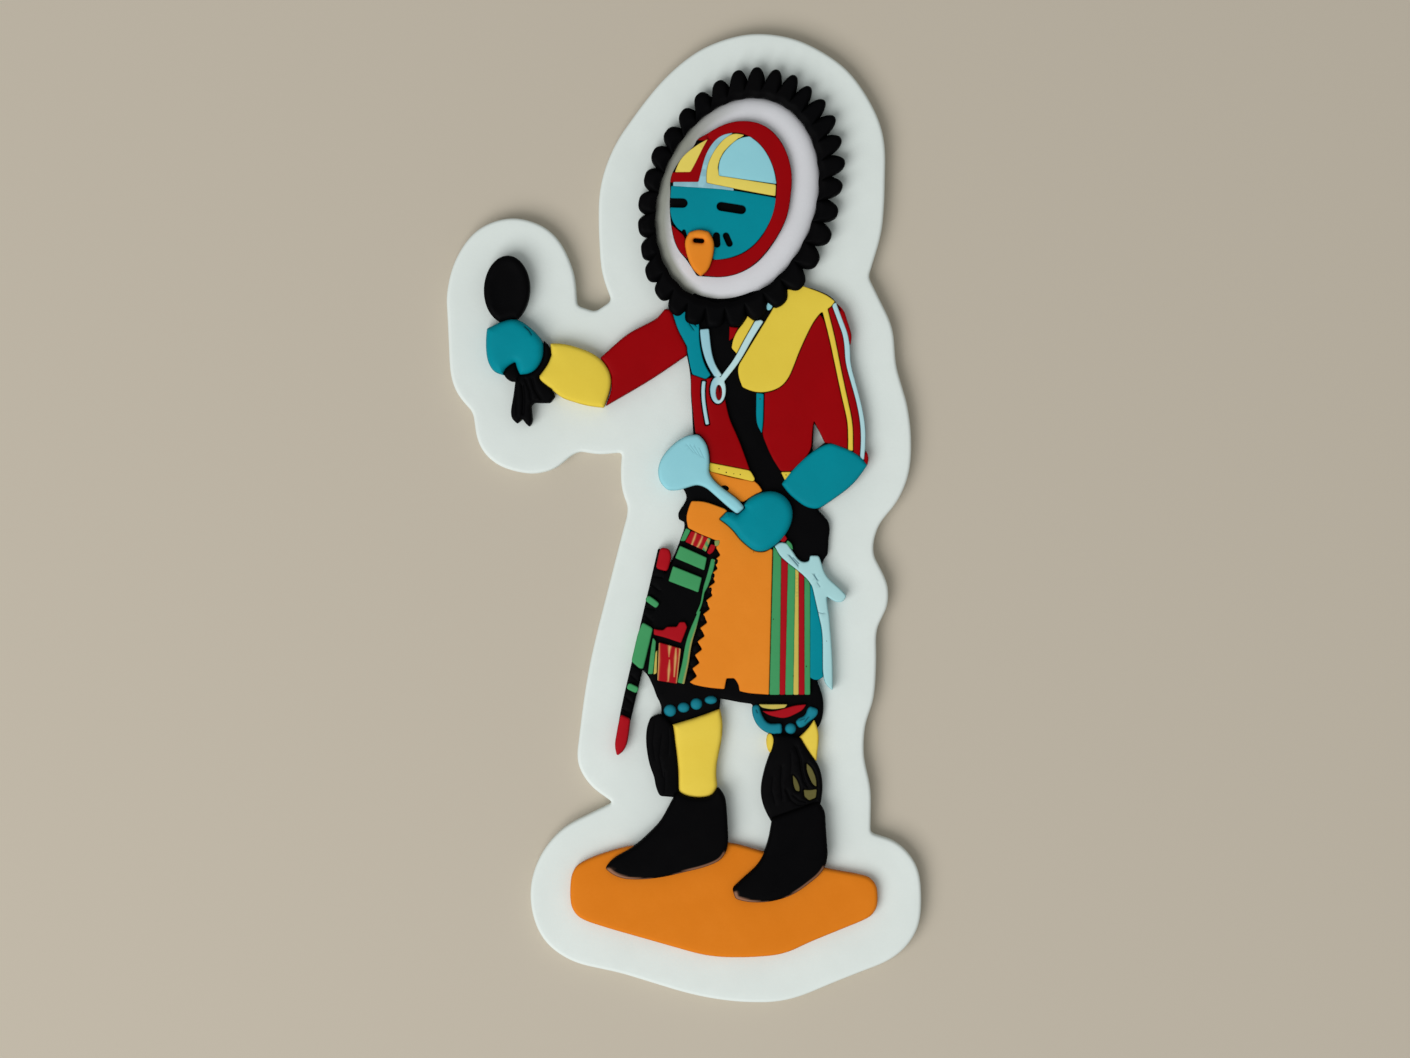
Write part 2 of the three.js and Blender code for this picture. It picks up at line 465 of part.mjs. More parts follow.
const cuff = outline([
  [9.93, 3.4, K], [10.6, 4.3], [11.4, 5.2], [12.75, 6.4], [14.1, 7.24], [14.65, 7.4],
  [15.7, 7.0], [16.7, 6.6], [17.6, 6.0], [18.17, 5.3, K], [17.4, 4.2], [16.5, 3.2],
  [15.4, 2.4], [14.0, 1.4], [13.3, 1.0], [12.6, 1.05], [11.7, 1.6], [10.6, 2.5],
]);
const spoon = outline([
  [0.84, 8.35], [1.6, 8.2], [2.1, 7.6], [2.4, 6.7], [2.5, 5.6], [2.4, 4.55, K],
  [2.66, 4.0], [3.87, 2.9], [5.6, 1.6], [6.0, 1.05], [5.9, 0.7], [5.3, 0.45],
  [4.14, 1.45], [2.9, 2.5], [2.1, 3.2], [1.6, 3.4], [0.8, 3.34], [0, 2.9],
  [-1.0, 2.8], [-1.8, 2.9], [-2.4, 3.7], [-2.57, 4.7], [-2.3, 5.8], [-1.65, 6.7], [-0.65, 7.65],
]);
const waist = outline([
  [2.4, 4.65, K], [5.2, 3.9], [6.97, 3.65, K], [7.4, 3.3], [7.77, 2.73, K], [5.9, 1.66, K],
  [5.0, 1.8, K], [2.6, 3.9, K],
]);
const lowerHand = outline([
  [3.6, -0.1], [4.1, 0.5], [4.7, 0.65], [5.4, 0.5], [5.9, 1.2], [6.7, 2.1],
  [7.8, 2.53], [8.7, 2.7], [9.66, 2.46], [10.47, 1.7], [10.84, 0.9], [10.8, -0.16],
  [10.47, -1.1], [9.8, -2.05], [8.7, -3.0], [7.8, -3.4], [7.1, -3.3], [6.3, -2.7],
  [5.35, -1.8], [4.7, -0.8], [4.0, -0.5],
]);

// Outlines of the kilt, the sash and the staff beside it
function toothedEdge() {
  const from = new THREE.Vector2(...TEETH_BOTTOM);
  const to = new THREE.Vector2(...TEETH_TOP);
  const across = to.clone().sub(from).normalize().rotateAround(new THREE.Vector2(), Math.PI / 2);
  const points = [];
  for (let i = 0; i <= 2 * TEETH; i += 1) {
    const side = (i % 2 === 0 ? 0.5 : -0.5) * TOOTH;
    const point = from.clone().lerp(to, i / (2 * TEETH)).addScaledVector(across, side);
    points.push([point.x, point.y, K]);
  }
  return points;
}

const kilt = outline([
  [0.8, 1.65, K], [2.0, 1.6], [4.1, 0.85, K], [6.0, -1.0, K], [8.8, -3.2, K], [8.65, -8.6],
  [8.45, HEM_LEVEL, K], [6.4, -17.45], [5.6, -17.25, K], [5.5, -16.6], [5.06, -15.96, K], [4.2, -15.96, K],
  [4.0, -17.04, K], [2.4, -16.9], [1.0, -16.6, K], ...toothedEdge(), [3.65, -2.35, K], [1.3, -1.4],
  [0.3, -0.8], [0.17, -0.4], [0.6, 1.2, K],
]);

function stripeOutlines() {
  let waistX = STRIPES_START.waist;
  let hemX = STRIPES_START.hem;
  return STRIPES.map((stripe) => {
    const topOf = (x) => STRIPES_TOP + (x - STRIPES_START.waist) * STRIPES_SLOPE;
    const right = [waistX + stripe.waist, hemX + stripe.hem];
    const points = outline([
      [waistX + SEAM, topOf(waistX), K], [right[0], topOf(right[0]), K], [right[1], HEM_LEVEL, K],
      [hemX + SEAM, HEM_LEVEL, K],
    ]);
    [waistX, hemX] = right;
    return { ...stripe, points };
  });
}

const stripes = stripeOutlines();
const kiltSide = outline([
  [12.65, -6.3, K], [13.0, -7.55], [13.4, -9.3], [13.8, -11.3], [13.9, -14.0], [13.9, -15.8, K],
  [13.3, -16.2], [12.65, -15.9, K],
]);
const ribbon = outline([
  [9.1, -2.8, K], [9.5, -2.5], [10.2, -2.5], [10.7, -3.2], [11.3, -4.1], [11.7, -4.5],
  [12.6, -4.35, K], [12.65, -3.8, K], [13.16, -3.7], [13.6, -4.0], [13.8, -5.1], [14.4, -6.1],
  [15.45, -7.0], [16.2, -7.8, K], [15.9, -8.3], [15.3, -8.4], [14.2, -7.7, K], [14.2, -8.35],
  [14.4, -9.3], [14.6, -11.3], [14.8, -14.0], [14.84, -17.2, K], [14.57, -17.3], [14.17, -16.6],
  [13.95, -15.76], [13.85, -11.3], [13.4, -9.3], [13.0, -7.5], [12.75, -6.5], [11.95, -5.7],
  [11.0, -4.9], [10.06, -4.2], [9.1, -3.1],
]);
const sashTopRed = outline([[0.75, -1.3, K], [2.6, -2.0, K], [1.97, -3.2, K], [0.15, -2.36, K]]);
const sashBlockUpper = outline([
  [-0.5, -2.7, K], [2.37, -4.17, K], [2.3, -4.6], [1.97, -5.26], [1.56, -5.26, K], [-0.86, -4.2, K],
  [-0.93, -3.8],
]);
const sashBlockLower = outline([
  [-1.13, -4.8, K], [1.76, -6.0, K], [1.5, -7.3, K], [1.16, -7.5], [-1.5, -6.5, K], [-1.6, -6.1],
]);
const sashEdge = band([
  [1.55, -9.3, 0.2], [1.0, -10.9, 0.5], [0.45, -12.6, 0.55], [0.15, -14.6, 0.6], [-0.3, -16.5, 0.65],
]);
const sashSteps = outline([
  [-3.0, -11.1, K], [-3.0, -11.65, K], [-2.1, -11.85], [-0.3, -12.46, K], [0, -11.7], [0.3, -10.7],
  [-0.05, -10.35], [-0.4, -10.4], [-0.7, -10.9, K], [-1.7, -10.9, K], [-2.1, -11.25],
]);
const sashStreaked = outline([[-2.45, -12.5, K], [-0.35, -13.1, K], [-0.75, -16.5, K], [-2.6, -16.2, K]]);
const staffTop = outline([
  [-2.3, -3.0, K], [-1.53, -3.1, K], [-1.3, -3.8], [-1.7, -5.3, K], [-2.75, -5.0, K], [-2.54, -3.9],
]);
const staffGreen = outline([
  [-4.1, -10.5, K], [-3.15, -11.05, K], [-4.1, -15.0, K], [-4.4, -15.0, K], [-5.2, -14.3, K], [-4.4, -11.05],
]);
const staffTip = outline([
  [-6.3, -19.7, K], [-5.4, -20.1, K], [-5.74, -22.5], [-6.3, -23.7], [-6.7, -23.7], [-6.9, -23.1],
  [-6.6, -21.0],
]);

// Outlines of the knees, legs, boots and base
const kneeCord = band([
  [7.15, -18.75, 0.62], [7.35, -19.9, 0.85], [8.1, -20.9, 0.85], [8.9, -21.1, 0.9], [9.75, -21.05, 1.0],
]);
const kneeRed = outline([
  [7.86, -19.3, K], [9.4, -19.3], [10.75, -18.8], [12.2, -18.65, K], [12.1, -19.0],
  [10.75, -19.77], [10.1, -20.0], [8.87, -19.8], [8.06, -19.5],
]);
const legLeft = outline([
  [-1.1, -20.7, K], [1.6, -19.9], [3.55, -19.15, K], [3.8, -20.2], [3.75, -21.85], [3.5, -23.2],
  [3.2, -24.55], [3.2, -26.2], [3.35, -27.2, K], [2.7, -27.9], [1.6, -28.05], [0.4, -27.9],
  [-0.35, -27.6], [-0.53, -27.0, K], [-0.6, -24.8], [-0.8, -22.7],
]);
const legRightOuter = outline([
  [13.0, -20.3, K], [13.45, -21.6], [13.3, -22.9], [13.2, -24.2, K], [12.6, -23.7], [11.7, -22.1],
  [11.6, -21.9, K], [12.4, -21.2],
]);
const fringeLeft = outline([
  [-2.4, -19.6, K], [-3.25, -19.9], [-3.65, -20.8], [-3.76, -22.1], [-3.6, -23.7], [-3.2, -25.3],
  [-2.8, -26.2], [-2.75, -27.3], [-2.4, -27.75, K], [-1.1, -27.85, K], [-0.5, -28.2, K],
  [-0.6, -27.0, K], [-0.65, -24.8], [-0.9, -22.7], [-1.15, -20.75, K],
]);
const fringeRight = outline([
  [9.0, -21.6, K], [9.0, -22.5], [8.67, -23.4], [8.26, -24.55], [7.9, -25.9], [7.7, -27.2],
  [7.8, -28.2], [8.06, -29.0], [8.95, -30.7, K], [13.5, -29.1, K], [13.8, -27.4], [13.8, -26.4],
  [13.6, -25.2], [13.2, -24.3], [12.6, -23.7], [11.6, -22.0, K],
]);
const bootLeft = outline([
  [-0.7, -27.4, K], [0.2, -27.85], [1.66, -28.05], [2.9, -27.75], [3.4, -26.95, K], [3.9, -27.4],
  [4.2, -28.7], [4.3, -30.3], [4.4, -32.1], [4.3, -33.05], [3.9, -33.9], [3.4, -34.3],
  [1.8, -34.9], [-0.4, -35.46], [-2.35, -35.86], [-4.4, -36.07], [-6.2, -35.97], [-7.3, -35.5],
  [-7.83, -35.0, K], [-7.7, -34.6], [-7.0, -34.0], [-5.55, -33.2], [-4.6, -32.6], [-3.3, -31.4],
  [-2.2, -30.2], [-1.4, -28.7],
]);
const bootRight = outline([
  [8.87, -30.0, K], [13.36, -28.4, K], [14.0, -29.05], [14.1, -30.5], [14.24, -32.4], [14.3, -34.2],
  [14.0, -35.0], [13.7, -35.46], [12.56, -36.4], [11.1, -37.46], [9.8, -38.0], [8.2, -38.34],
  [6.6, -38.34], [5.3, -38.1], [4.86, -37.6], [4.86, -37.0, K], [5.8, -36.1], [7.26, -34.8],
  [7.9, -33.85], [8.2, -33.05], [8.55, -31.9],
]);
const base = outline([
  [-11.1, -35.1], [-9.5, -34.1], [-5.7, -32.8, K], [4.4, -32.35, K], [7.9, -33.4, K], [14.3, -35.1, K],
  [19.0, -36.2], [19.35, -37.2], [19.25, -39.3], [18.8, -39.8], [12.66, -42.4], [10.1, -43.54],
  [6.54, -43.97], [2.46, -43.8], [-1.1, -42.9], [-9.0, -40.6], [-10.55, -39.97], [-11.3, -38.9],
  [-11.4, -37.7], [-11.3, -35.9],
]);

// Shirt and neck, on the black ground
const onBlack = (points, top = COLOUR_TOP) => slab(points, BLACK_TOP, top, SEAM);
const necklaceRooms = [room(necklaceLeft), room(necklaceRight)];
const inlay = (points) => grown(points, INLAY_FLOOR, BEAK_TOP, SEAM);
const pendantRing = slab(pendant, INLAY_FLOOR, COLOUR_TOP, SEAM).subtract(prism(pendantHole, 0, BEAK_TOP));
const pendantBed = inlay(pendant).subtract(prism(pendantHole, 0, BEAK_TOP));
pour("collar", "teal", onBlack(collar), ruffRoom, ...necklaceRooms, room(raisedSleeve));
pour("necklace", "paleBlue",
  onBlack(necklaceLeft).add(onBlack(necklaceRight)).subtract(prism(pendant, 0, BEAK_TOP)).add(pendantRing),
  ruffRoom,
);
pour("neck_yellow", "yellow", onBlack(neckYellow), ruffRoom, ...necklaceRooms);
pour("neck_red", "red", onBlack(neckRed), ruffRoom, ...necklaceRooms);
pour("shirt_left", "red",
  onBlack(shirtLeft), room(collar), room(spoon), room(hemLeft), ...necklaceRooms, pendantBed, inlay(chestLine),
);
pour("chest_line", "paleBlue", slab(chestLine, INLAY_FLOOR, COLOUR_TOP, SEAM / 2), room(collar));
pour("shirt_hem_left", "yellow", onBlack(hemLeft), room(spoon));
pour("shirt_yoke", "yellow", onBlack(yoke).add(onBlack(yokeStripe)), ruffRoom, ...necklaceRooms);
pour("shirt_right", "red", onBlack(shirtRight), room(yoke), room(yokeStripe), inlay(chestTab), room(cuff));
pour("chest_tab", "teal", slab(chestTab, INLAY_FLOOR, COLOUR_TOP, SEAM), room(yoke));
pour("sleeve_outer", "red",
  onBlack(sleeveOuter), room(yoke), room(yokeStripe), room(sleevePiping), room(cuff),
);
pour("sleeve_piping", "paleBlue", onBlack(sleevePiping), room(cuff), room(yoke));
pour("sleeve_trim", "red", onBacking(sleeveTrim), room(sleevePiping));
pour("cuff", "teal", onBlack(cuff, LIMB_TOP));

// Waist: a spoon-shaped rattle with its stem across the lower hand, over the orange of the kilt
pour("spoon_rattle", "lightBlue", onBacking(spoon, FRONT_TOP));
pour("waist", "orange", onBlack(waist), room(spoon), room(hemLeft), room(lowerHand));
pour("lower_hand", "teal", onBlack(lowerHand, FRONT_TOP), room(spoon));

// Kilt: the orange front, its striped side, and the pale ribbon that hangs over it
pour("kilt", "orange", onBlack(kilt), room(lowerHand), room(spoon));
for (const stripe of stripes) {
  pour(stripe.name, stripe.paint, onBlack(stripe.points), room(ribbon), room(kilt));
}
pour("kilt_side", "teal", onBlack(kiltSide), room(ribbon));
pour("hip_ribbon", "lightBlue", onBacking(ribbon).subtract(room(lowerHand)));

// Sash and staff, on the black ground
const sashPours = [
  ["sash_top_red", "sashRed", sashTopRed, [room(kilt)]],
  ["sash_block_upper", "green", sashBlockUpper, [room(sashTopRed)]],
  ["sash_block_lower", "green", sashBlockLower, [room(sashBlockUpper)]],
  ["sash_edge", "green", sashEdge, [room(kilt)]],
  ["sash_steps", "sashRed", sashSteps, [room(sashEdge)]],
  ["sash_streaked", "sashRed", sashStreaked, [room(sashEdge)]],
  ["staff_top", "sashRed", staffTop, []],
  ["staff_green", "green", staffGreen, []],
  ["staff_tip", "sashRed", staffTip, []],
];
for (const [name, paint, points, rooms] of sashPours) {
  pour(name, paint, slab(points, BLACK_TOP, COLOUR_TOP, SEAM / 2), ...rooms);
}

// Right knee: a folded lining and a cord on the black ground
pour("knee_lining", "sashRed", onBlack(kneeRed));
pour("knee_cord", "teal", onBlack(kneeCord), room(kneeRed));

// Legs in yellow, and a boot and the fringe above it in one black pour
const bootBody = (boot, fringe) => slab(boot, BACKING_TOP, FRONT_TOP)
  .subtract(grown(base, 0, BASE_TOP, SEAM))
  .add(onBacking(fringe, LIMB_TOP));
const legRooms = [room(bootLeft), room(bootRight), room(fringeLeft), room(fringeRight)];
pour("leg_left", "yellow", onBacking(legLeft, LIMB_TOP), ...legRooms);
pour("leg_right_outer", "yellow", onBacking(legRightOuter), ...legRooms);
pour("boot_left", "black", bootBody(bootLeft, fringeLeft));
pour("boot_right", "black", bootBody(bootRight, fringeRight));

// Base: the orange ground under the boots
pour("ground_oval", "deepOrange", slab(base, BACKING_TOP, BASE_TOP));

export default doll;
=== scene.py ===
import bpy
import numpy as np
from mathutils.geometry import delaunay_2d_cdt
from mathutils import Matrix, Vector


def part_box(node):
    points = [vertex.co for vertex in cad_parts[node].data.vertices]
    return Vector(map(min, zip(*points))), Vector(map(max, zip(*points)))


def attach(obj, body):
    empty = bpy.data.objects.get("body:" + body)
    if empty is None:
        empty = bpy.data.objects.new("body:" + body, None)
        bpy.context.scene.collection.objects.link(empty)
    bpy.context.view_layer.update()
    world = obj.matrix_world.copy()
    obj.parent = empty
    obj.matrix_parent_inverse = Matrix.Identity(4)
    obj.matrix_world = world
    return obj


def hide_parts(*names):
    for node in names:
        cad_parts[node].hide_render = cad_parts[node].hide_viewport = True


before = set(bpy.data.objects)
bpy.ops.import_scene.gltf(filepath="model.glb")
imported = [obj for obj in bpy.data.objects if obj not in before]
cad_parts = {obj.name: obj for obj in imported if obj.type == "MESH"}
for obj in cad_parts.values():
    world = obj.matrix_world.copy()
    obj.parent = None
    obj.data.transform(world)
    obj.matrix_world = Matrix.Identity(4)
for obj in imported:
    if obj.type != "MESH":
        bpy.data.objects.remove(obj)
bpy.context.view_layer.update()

# Backing
# The white layer that fills the mould last and carries every other pour. It is soft PVC with a fine
# matt skin, a little wavy from the cure, and the mould leaves its edge slightly round.
MM = 0.001
STEP = 0.16  # between points of an outline
FIT = 0.06  # a pour goes this far past the outline of its solid, towards its neighbours
FULL_PAINTED_SHADE = 0.08  # depth of a score that takes the full painted shade
CROWN_REACH = 1.2  # depth inside the outline over which most of a crown rises
EDGE_ROWS = (0.12, 0.36, 0.68, 1.0)  # shares of a round edge with a row of points each
SCORE_ROWS = (-1.1, -0.6, -0.25, 0.25, 0.6, 1.1)  # rows of points beside a score, in its widths


def cross(u, v):
    """Cross product of flat vectors, over 0 where the second points to the left of the first."""
    return u[..., 0] * v[..., 1] - u[..., 1] * v[..., 0]


def area(loop):
    """Area of an outline, over 0 where it runs anticlockwise: half the sum of the cross products."""
    return 0.5 * cross(loop, np.roll(loop, -1, 0)).sum()


def border(faces, count):
    """The directed edges that only one of the triangles has."""
    edges = np.concatenate([faces[:, [0, 1]], faces[:, [1, 2]], faces[:, [2, 0]]])
    return edges[~np.isin(edges @ [count, 1], edges @ [1, count])]


def cad_outlines(node):
    """The outlines of a CAD node seen from above, in mm, the widest first. They are the edges that
    only one of its upward faces has, walked from end to end, with the solid on their left."""
    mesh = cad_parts[node].data
    places = np.empty((len(mesh.vertices), 3), np.float32)
    mesh.vertices.foreach_get("co", places.ravel())
    corners = np.empty((len(mesh.polygons), 3), np.int32)
    mesh.polygons.foreach_get("vertices", corners.ravel())
    places, same = np.unique(np.round(places.astype(float) / MM, 3), axis=0, return_inverse=True)
    faces = same.ravel()[corners]
    a, b, c = places[faces].transpose(1, 0, 2)
    normal = np.cross(b - a, c - a)
    up = faces[normal[:, 2] > 0.05 * np.linalg.norm(normal, axis=1)]
    onward = {}
    for here, there in border(up, len(places)).tolist():
        onward.setdefault(here, []).append(there)
    loops = []
    while onward:
        first = here = next(iter(onward))
        walk = []
        while not walk or here != first:
            walk.append(here)
            there = onward[here].pop()
            if not onward[here]:
                del onward[here]
            here = there
        loops.append(places[walk, :2])
    return sorted((loop for loop in loops if abs(area(loop)) > 0.02), key=lambda loop: -abs(area(loop)))


def divided(points):
    """A closed outline with its long sides divided evenly into parts of at most one step."""
    side = np.roll(points, -1, 0) - points
    parts = np.maximum(1, np.ceil(np.linalg.norm(side, axis=1) / STEP)).astype(int)
    which = np.repeat(np.arange(len(points)), parts)
    share = (np.arange(len(which)) - np.repeat(np.cumsum(parts) - parts, parts)) / parts[which]
    return points[which] + share[:, None] * side[which]


def rounded(loop, corner=0.15, sharp=0.75):
    """An outline with a short curve in each corner: the curve leaves one side and reaches the next,
    pulled to the corner between them. Slight turns take up half of each side, and turns over sharp
    (radians) at most corner mm. Long sides are then divided."""
    loop = np.asarray(loop, float)
    loop = loop if area(loop) > 0 else loop[::-1]
    nearest = min(0.04, 0.1 * abs(area(loop)) ** 0.5)
    for least in (0.0, 0.002):
        before, after = np.roll(loop, 1, 0) - loop, np.roll(loop, -1, 0) - loop
        reach = np.linalg.norm(before, axis=1)
        off = np.abs(cross(before, after))
        loop = loop[(reach > nearest) & (off >= least * np.linalg.norm(after - before, axis=1))]
    before, after = np.roll(loop, 1, 0) - loop, np.roll(loop, -1, 0) - loop
    lengths = np.linalg.norm([before, after], axis=2)
    turn = np.arccos(np.clip(-(before * after).sum(1) / lengths[0] / lengths[1], -1, 1))
    reach = 0.5 * lengths.min(0)
    reach = np.where(turn > sharp, np.minimum(reach, corner), reach)
    start, end = (loop + way * (reach / length)[:, None] for way, length in zip((before, after), lengths))
    s = np.linspace(0, 1, 5)[None, :, None]
    curve = (1 - s) ** 2 * start[:, None] + 2 * s * (1 - s) * loop[:, None] + s**2 * end[:, None]
    points = curve.reshape(-1, 2)
    return divided(points[np.linalg.norm(points - np.roll(points, 1, 0), axis=1) > 0.1 * nearest])


def widened(loop, by):
    """An outline moved outward by that many mm, its corners kept: each point goes along the mean of
    the two sides' normals, at most twice as far."""
    side = np.roll(loop, -1, 0) - loop
    normal = np.stack([side[:, 1], -side[:, 0]], 1) / np.linalg.norm(side, axis=1)[:, None]
    both = normal + np.roll(normal, 1, 0)
    return loop + 2 * by * both / np.maximum((both**2).sum(1), 1)[:, None]


def outlines_of(node, fit=FIT, corner=0.15, parts=1):
    """A node's widest outlines (as many as parts) and the holes in them, rounded and moved out a
    little so that the pours all but touch."""
    found = cad_outlines(node)
    solid = [loop for loop in found if area(loop) > 0][:parts]
    holes = [loop for loop in found if area(loop) < 0]
    kept = [rounded(widened(loop, fit), corner) for loop in solid]
    return kept + [rounded(widened(loop, fit), corner)[::-1] for loop in holes]


def inside(points, loops):
    """Whether each point lies in the outlines: a ray to the right crosses them an odd number of times."""
    a = np.concatenate(loops)
    b = np.concatenate([np.roll(loop, -1, 0) for loop in loops])
    slope = (b - a)[:, 0] / np.where(a[:, 1] == b[:, 1], 1, (b - a)[:, 1])
    found = np.empty(len(points), bool)
    for part in np.array_split(np.arange(len(points)), len(points) // 2000 + 1):
        x, y = points[part].T[..., None]
        crossed = (a[:, 1] > y) != (b[:, 1] > y)
        found[part] = (crossed & (x < a[:, 0] + (y - a[:, 1]) * slope)).sum(1) % 2 == 1
    return found


def distance(points, lines, closed=True):
    """Distance in mm from each point to the nearest side of the lines."""
    a = np.concatenate(lines if closed else [line[:-1] for line in lines])
    b = np.concatenate([np.roll(line, -1, 0) if closed else line[1:] for line in lines])
    side = b - a
    found = np.empty(len(points))
    for part in np.array_split(np.arange(len(points)), len(points) // 2000 + 1):
        away = points[part][:, None] - a
        share = np.clip((away * side).sum(2) / (side**2).sum(1), 0, 1)
        found[part] = np.sqrt(((away - share[..., None] * side) ** 2).sum(2).min(1))
    return found


def triangles(points, sides, loops):
    """Points and triangles that fill the outlines. The sides stay edges, split where they cross. The
    outlines are rounded as the triangulation rounds its points, so that a very thin triangle beside
    a straight side is told rightly as inside or outside. Those without area are left out."""
    loops = [loop.astype(np.float32).astype(float) for loop in loops]
    found = delaunay_2d_cdt(points.tolist(), sides.tolist(), [], 0, 1e-6, False)
    points, faces = np.array([tuple(point) for point in found[0]]), np.array(found[2])
    a, b, c = points[faces].transpose(1, 0, 2)
    wide = np.abs(cross(b - a, c - a)) > 1e-9
    return points, faces[wide & inside((a + b + c) / 3, loops)]


def sides_of(loops):
    """Index pairs of the sides of the outlines, whose points follow one another."""
    first = np.cumsum([0] + [len(loop) for loop in loops])
    pairs = [np.stack([np.arange(len(loop)), np.roll(np.arange(len(loop)), -1)], 1) for loop in loops]
    return np.concatenate([pair + start for pair, start in zip(pairs, first)])


def make_piece(name, places, faces, material, slot, **measures):
    """A mesh from places in mm and faces, with its numbers for each vertex, on the body. Its slot is not
    used.
    """
    mesh = bpy.data.meshes.new(name)
    mesh.from_pydata((places * MM).tolist(), [], faces.tolist())
    for measure, values in measures.items():
        mesh.attributes.new(measure, "FLOAT", "POINT").data.foreach_set("value", values.astype(np.float32))
    mesh.shade_smooth()
    mesh.set_sharp_from_angle(angle=np.radians(50))
    mesh.materials.append(material)
    piece = bpy.data.objects.new(name, mesh)
    bpy.context.scene.collection.objects.link(piece)
    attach(piece, "root")
    return piece


def round_edge(depth, edge):
    """How far a round edge has fallen at some depth inside the outline, as a share: a quarter circle."""
    return 1 - np.sqrt(1 - np.clip(1 - depth / edge, 0, 1) ** 2)


def ripple(x, y):
    """The slight waves of a poured skin, from -1 to 1: sines of a few lengths and directions."""
    waves = [(1.9, 0.7, 0.3), (-1.1, 1.6, 2.1), (0.6, -2.3, 4.0), (2.9, 2.2, 1.2), (-0.35, 0.5, 5.1)]
    return sum(np.sin(u * x + v * y + w) for u, v, w in waves) / len(waves)


def poured(name, loops, top, low, material, slot, edge=0.1, fall=None, crown=0.02, wave=0.012,
           mesh_size=0.45, scores=(), relief=None, tone=None):
    """A poured piece on its outlines. Its height is top, less a round edge of that width and fall,
    plus a crown that rises with the depth inside the outline, the waves of its skin and any relief
    (a function of x, y and depth). Scores are (line, width, depth) grooves: each falls off from its
    line as a bell curve. The sides go down to low, a number or a function of the points. The tone is
    a function of x and y, and the scores add painted shade to it, as strong as they are deep."""
    wall = np.concatenate(loops)
    along = np.concatenate([np.roll(loop, -1, 0) - np.roll(loop, 1, 0) for loop in loops])
    inward = np.stack([-along[:, 1], along[:, 0]], 1) / np.linalg.norm(along, axis=1)[:, None]
    rows = [wall]
    for inset in edge * np.array(EDGE_ROWS):
        row = wall + inward * inset
        rows.append(row[(distance(row, loops) > 0.9 * inset) & inside(row, loops)])
    low_x, low_y = wall.min(0)
    high_x, high_y = wall.max(0)
    x, y = np.meshgrid(np.arange(low_x, high_x, mesh_size), np.arange(low_y, high_y, mesh_size * 0.866))
    x = x + mesh_size / 2 * (np.arange(len(x)) % 2)[:, None]
    grid = np.stack([x.ravel(), y.ravel()], 1)
    grid = grid[inside(grid, loops)]
    grid = grid[distance(grid, loops) > edge + 0.4 * mesh_size]
    for line, width, deep in scores:
        line = np.array(line)
        steps = np.linspace(0, len(line) - 1, 12 * len(line))
        path = np.stack([np.interp(steps, np.arange(len(line)), line[:, k]) for k in (0, 1)], 1)
        way = np.gradient(path, axis=0)
        across = np.stack([-way[:, 1], way[:, 0]], 1) / np.linalg.norm(way, axis=1)[:, None]
        near = np.concatenate([path + across * width * share for share in SCORE_ROWS])
        grid = grid[distance(grid, [path], closed=False) > 1.2 * width]
        near = near[inside(near, loops)]
        rows.append(near[distance(near, loops) > 0.02] if len(near) else near)
    flat, faces = triangles(np.concatenate(rows + [grid]), sides_of(loops), loops)
    edges = border(faces, len(flat))
    depth = distance(flat, loops)
    depth[edges] = 0
    x, y = flat.T
    swell = 1 - np.exp(-depth / CROWN_REACH)
    height = top - (fall or edge) * round_edge(depth, edge) + swell * (crown + wave * ripple(x, y))
    shade = tone(x, y) if tone else np.zeros(len(flat))
    # Each score is cut into the height and gets painted shade in the tone, fuller as it is deeper.
    for line, width, deep in scores:
        groove = np.exp(-((distance(flat, [np.array(line, float)], closed=False) / (0.6 * width)) ** 2))
        height = height - deep * groove
        shade = np.maximum(shade, min(1, deep / FULL_PAINTED_SHADE) * groove)
    if relief:
        height = height + relief(x, y, depth)
    used, sides = np.unique(edges, return_inverse=True)
    sides = sides.reshape(-1, 2)
    foot = low(flat[used]) if callable(low) else np.full(len(used), low)
    foot = np.minimum(foot, height[used] - 0.02)
    feet, bottom = triangles(flat[used], sides, loops)
    a, b, c, d = *edges.T, *(sides + len(flat)).T
    walls = np.concatenate([np.stack([a, c, d], 1), np.stack([a, d, b], 1)])
    places = np.concatenate([np.column_stack([flat, height]), np.column_stack([feet[: len(used)], foot])])
    faces = np.concatenate([faces, walls, bottom[:, ::-1] + len(flat)])
    rim = np.concatenate([depth, np.zeros(len(used))])
    return make_piece(name, places, faces, material, slot, rim=rim, tone=np.concatenate([shade, shade[used]]))


def levels(node):
    """Lowest and highest level of a CAD node, in mm."""
    lowest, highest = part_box(node)
    return lowest.z / MM, highest.z / MM


def linear(colour):
    """A screen colour (0 to 255) as linear light."""
    value = np.array(colour) / 255
    return (*np.where(value < 0.04045, value / 12.92, ((value + 0.055) / 1.055) ** 2.4), 1.0)


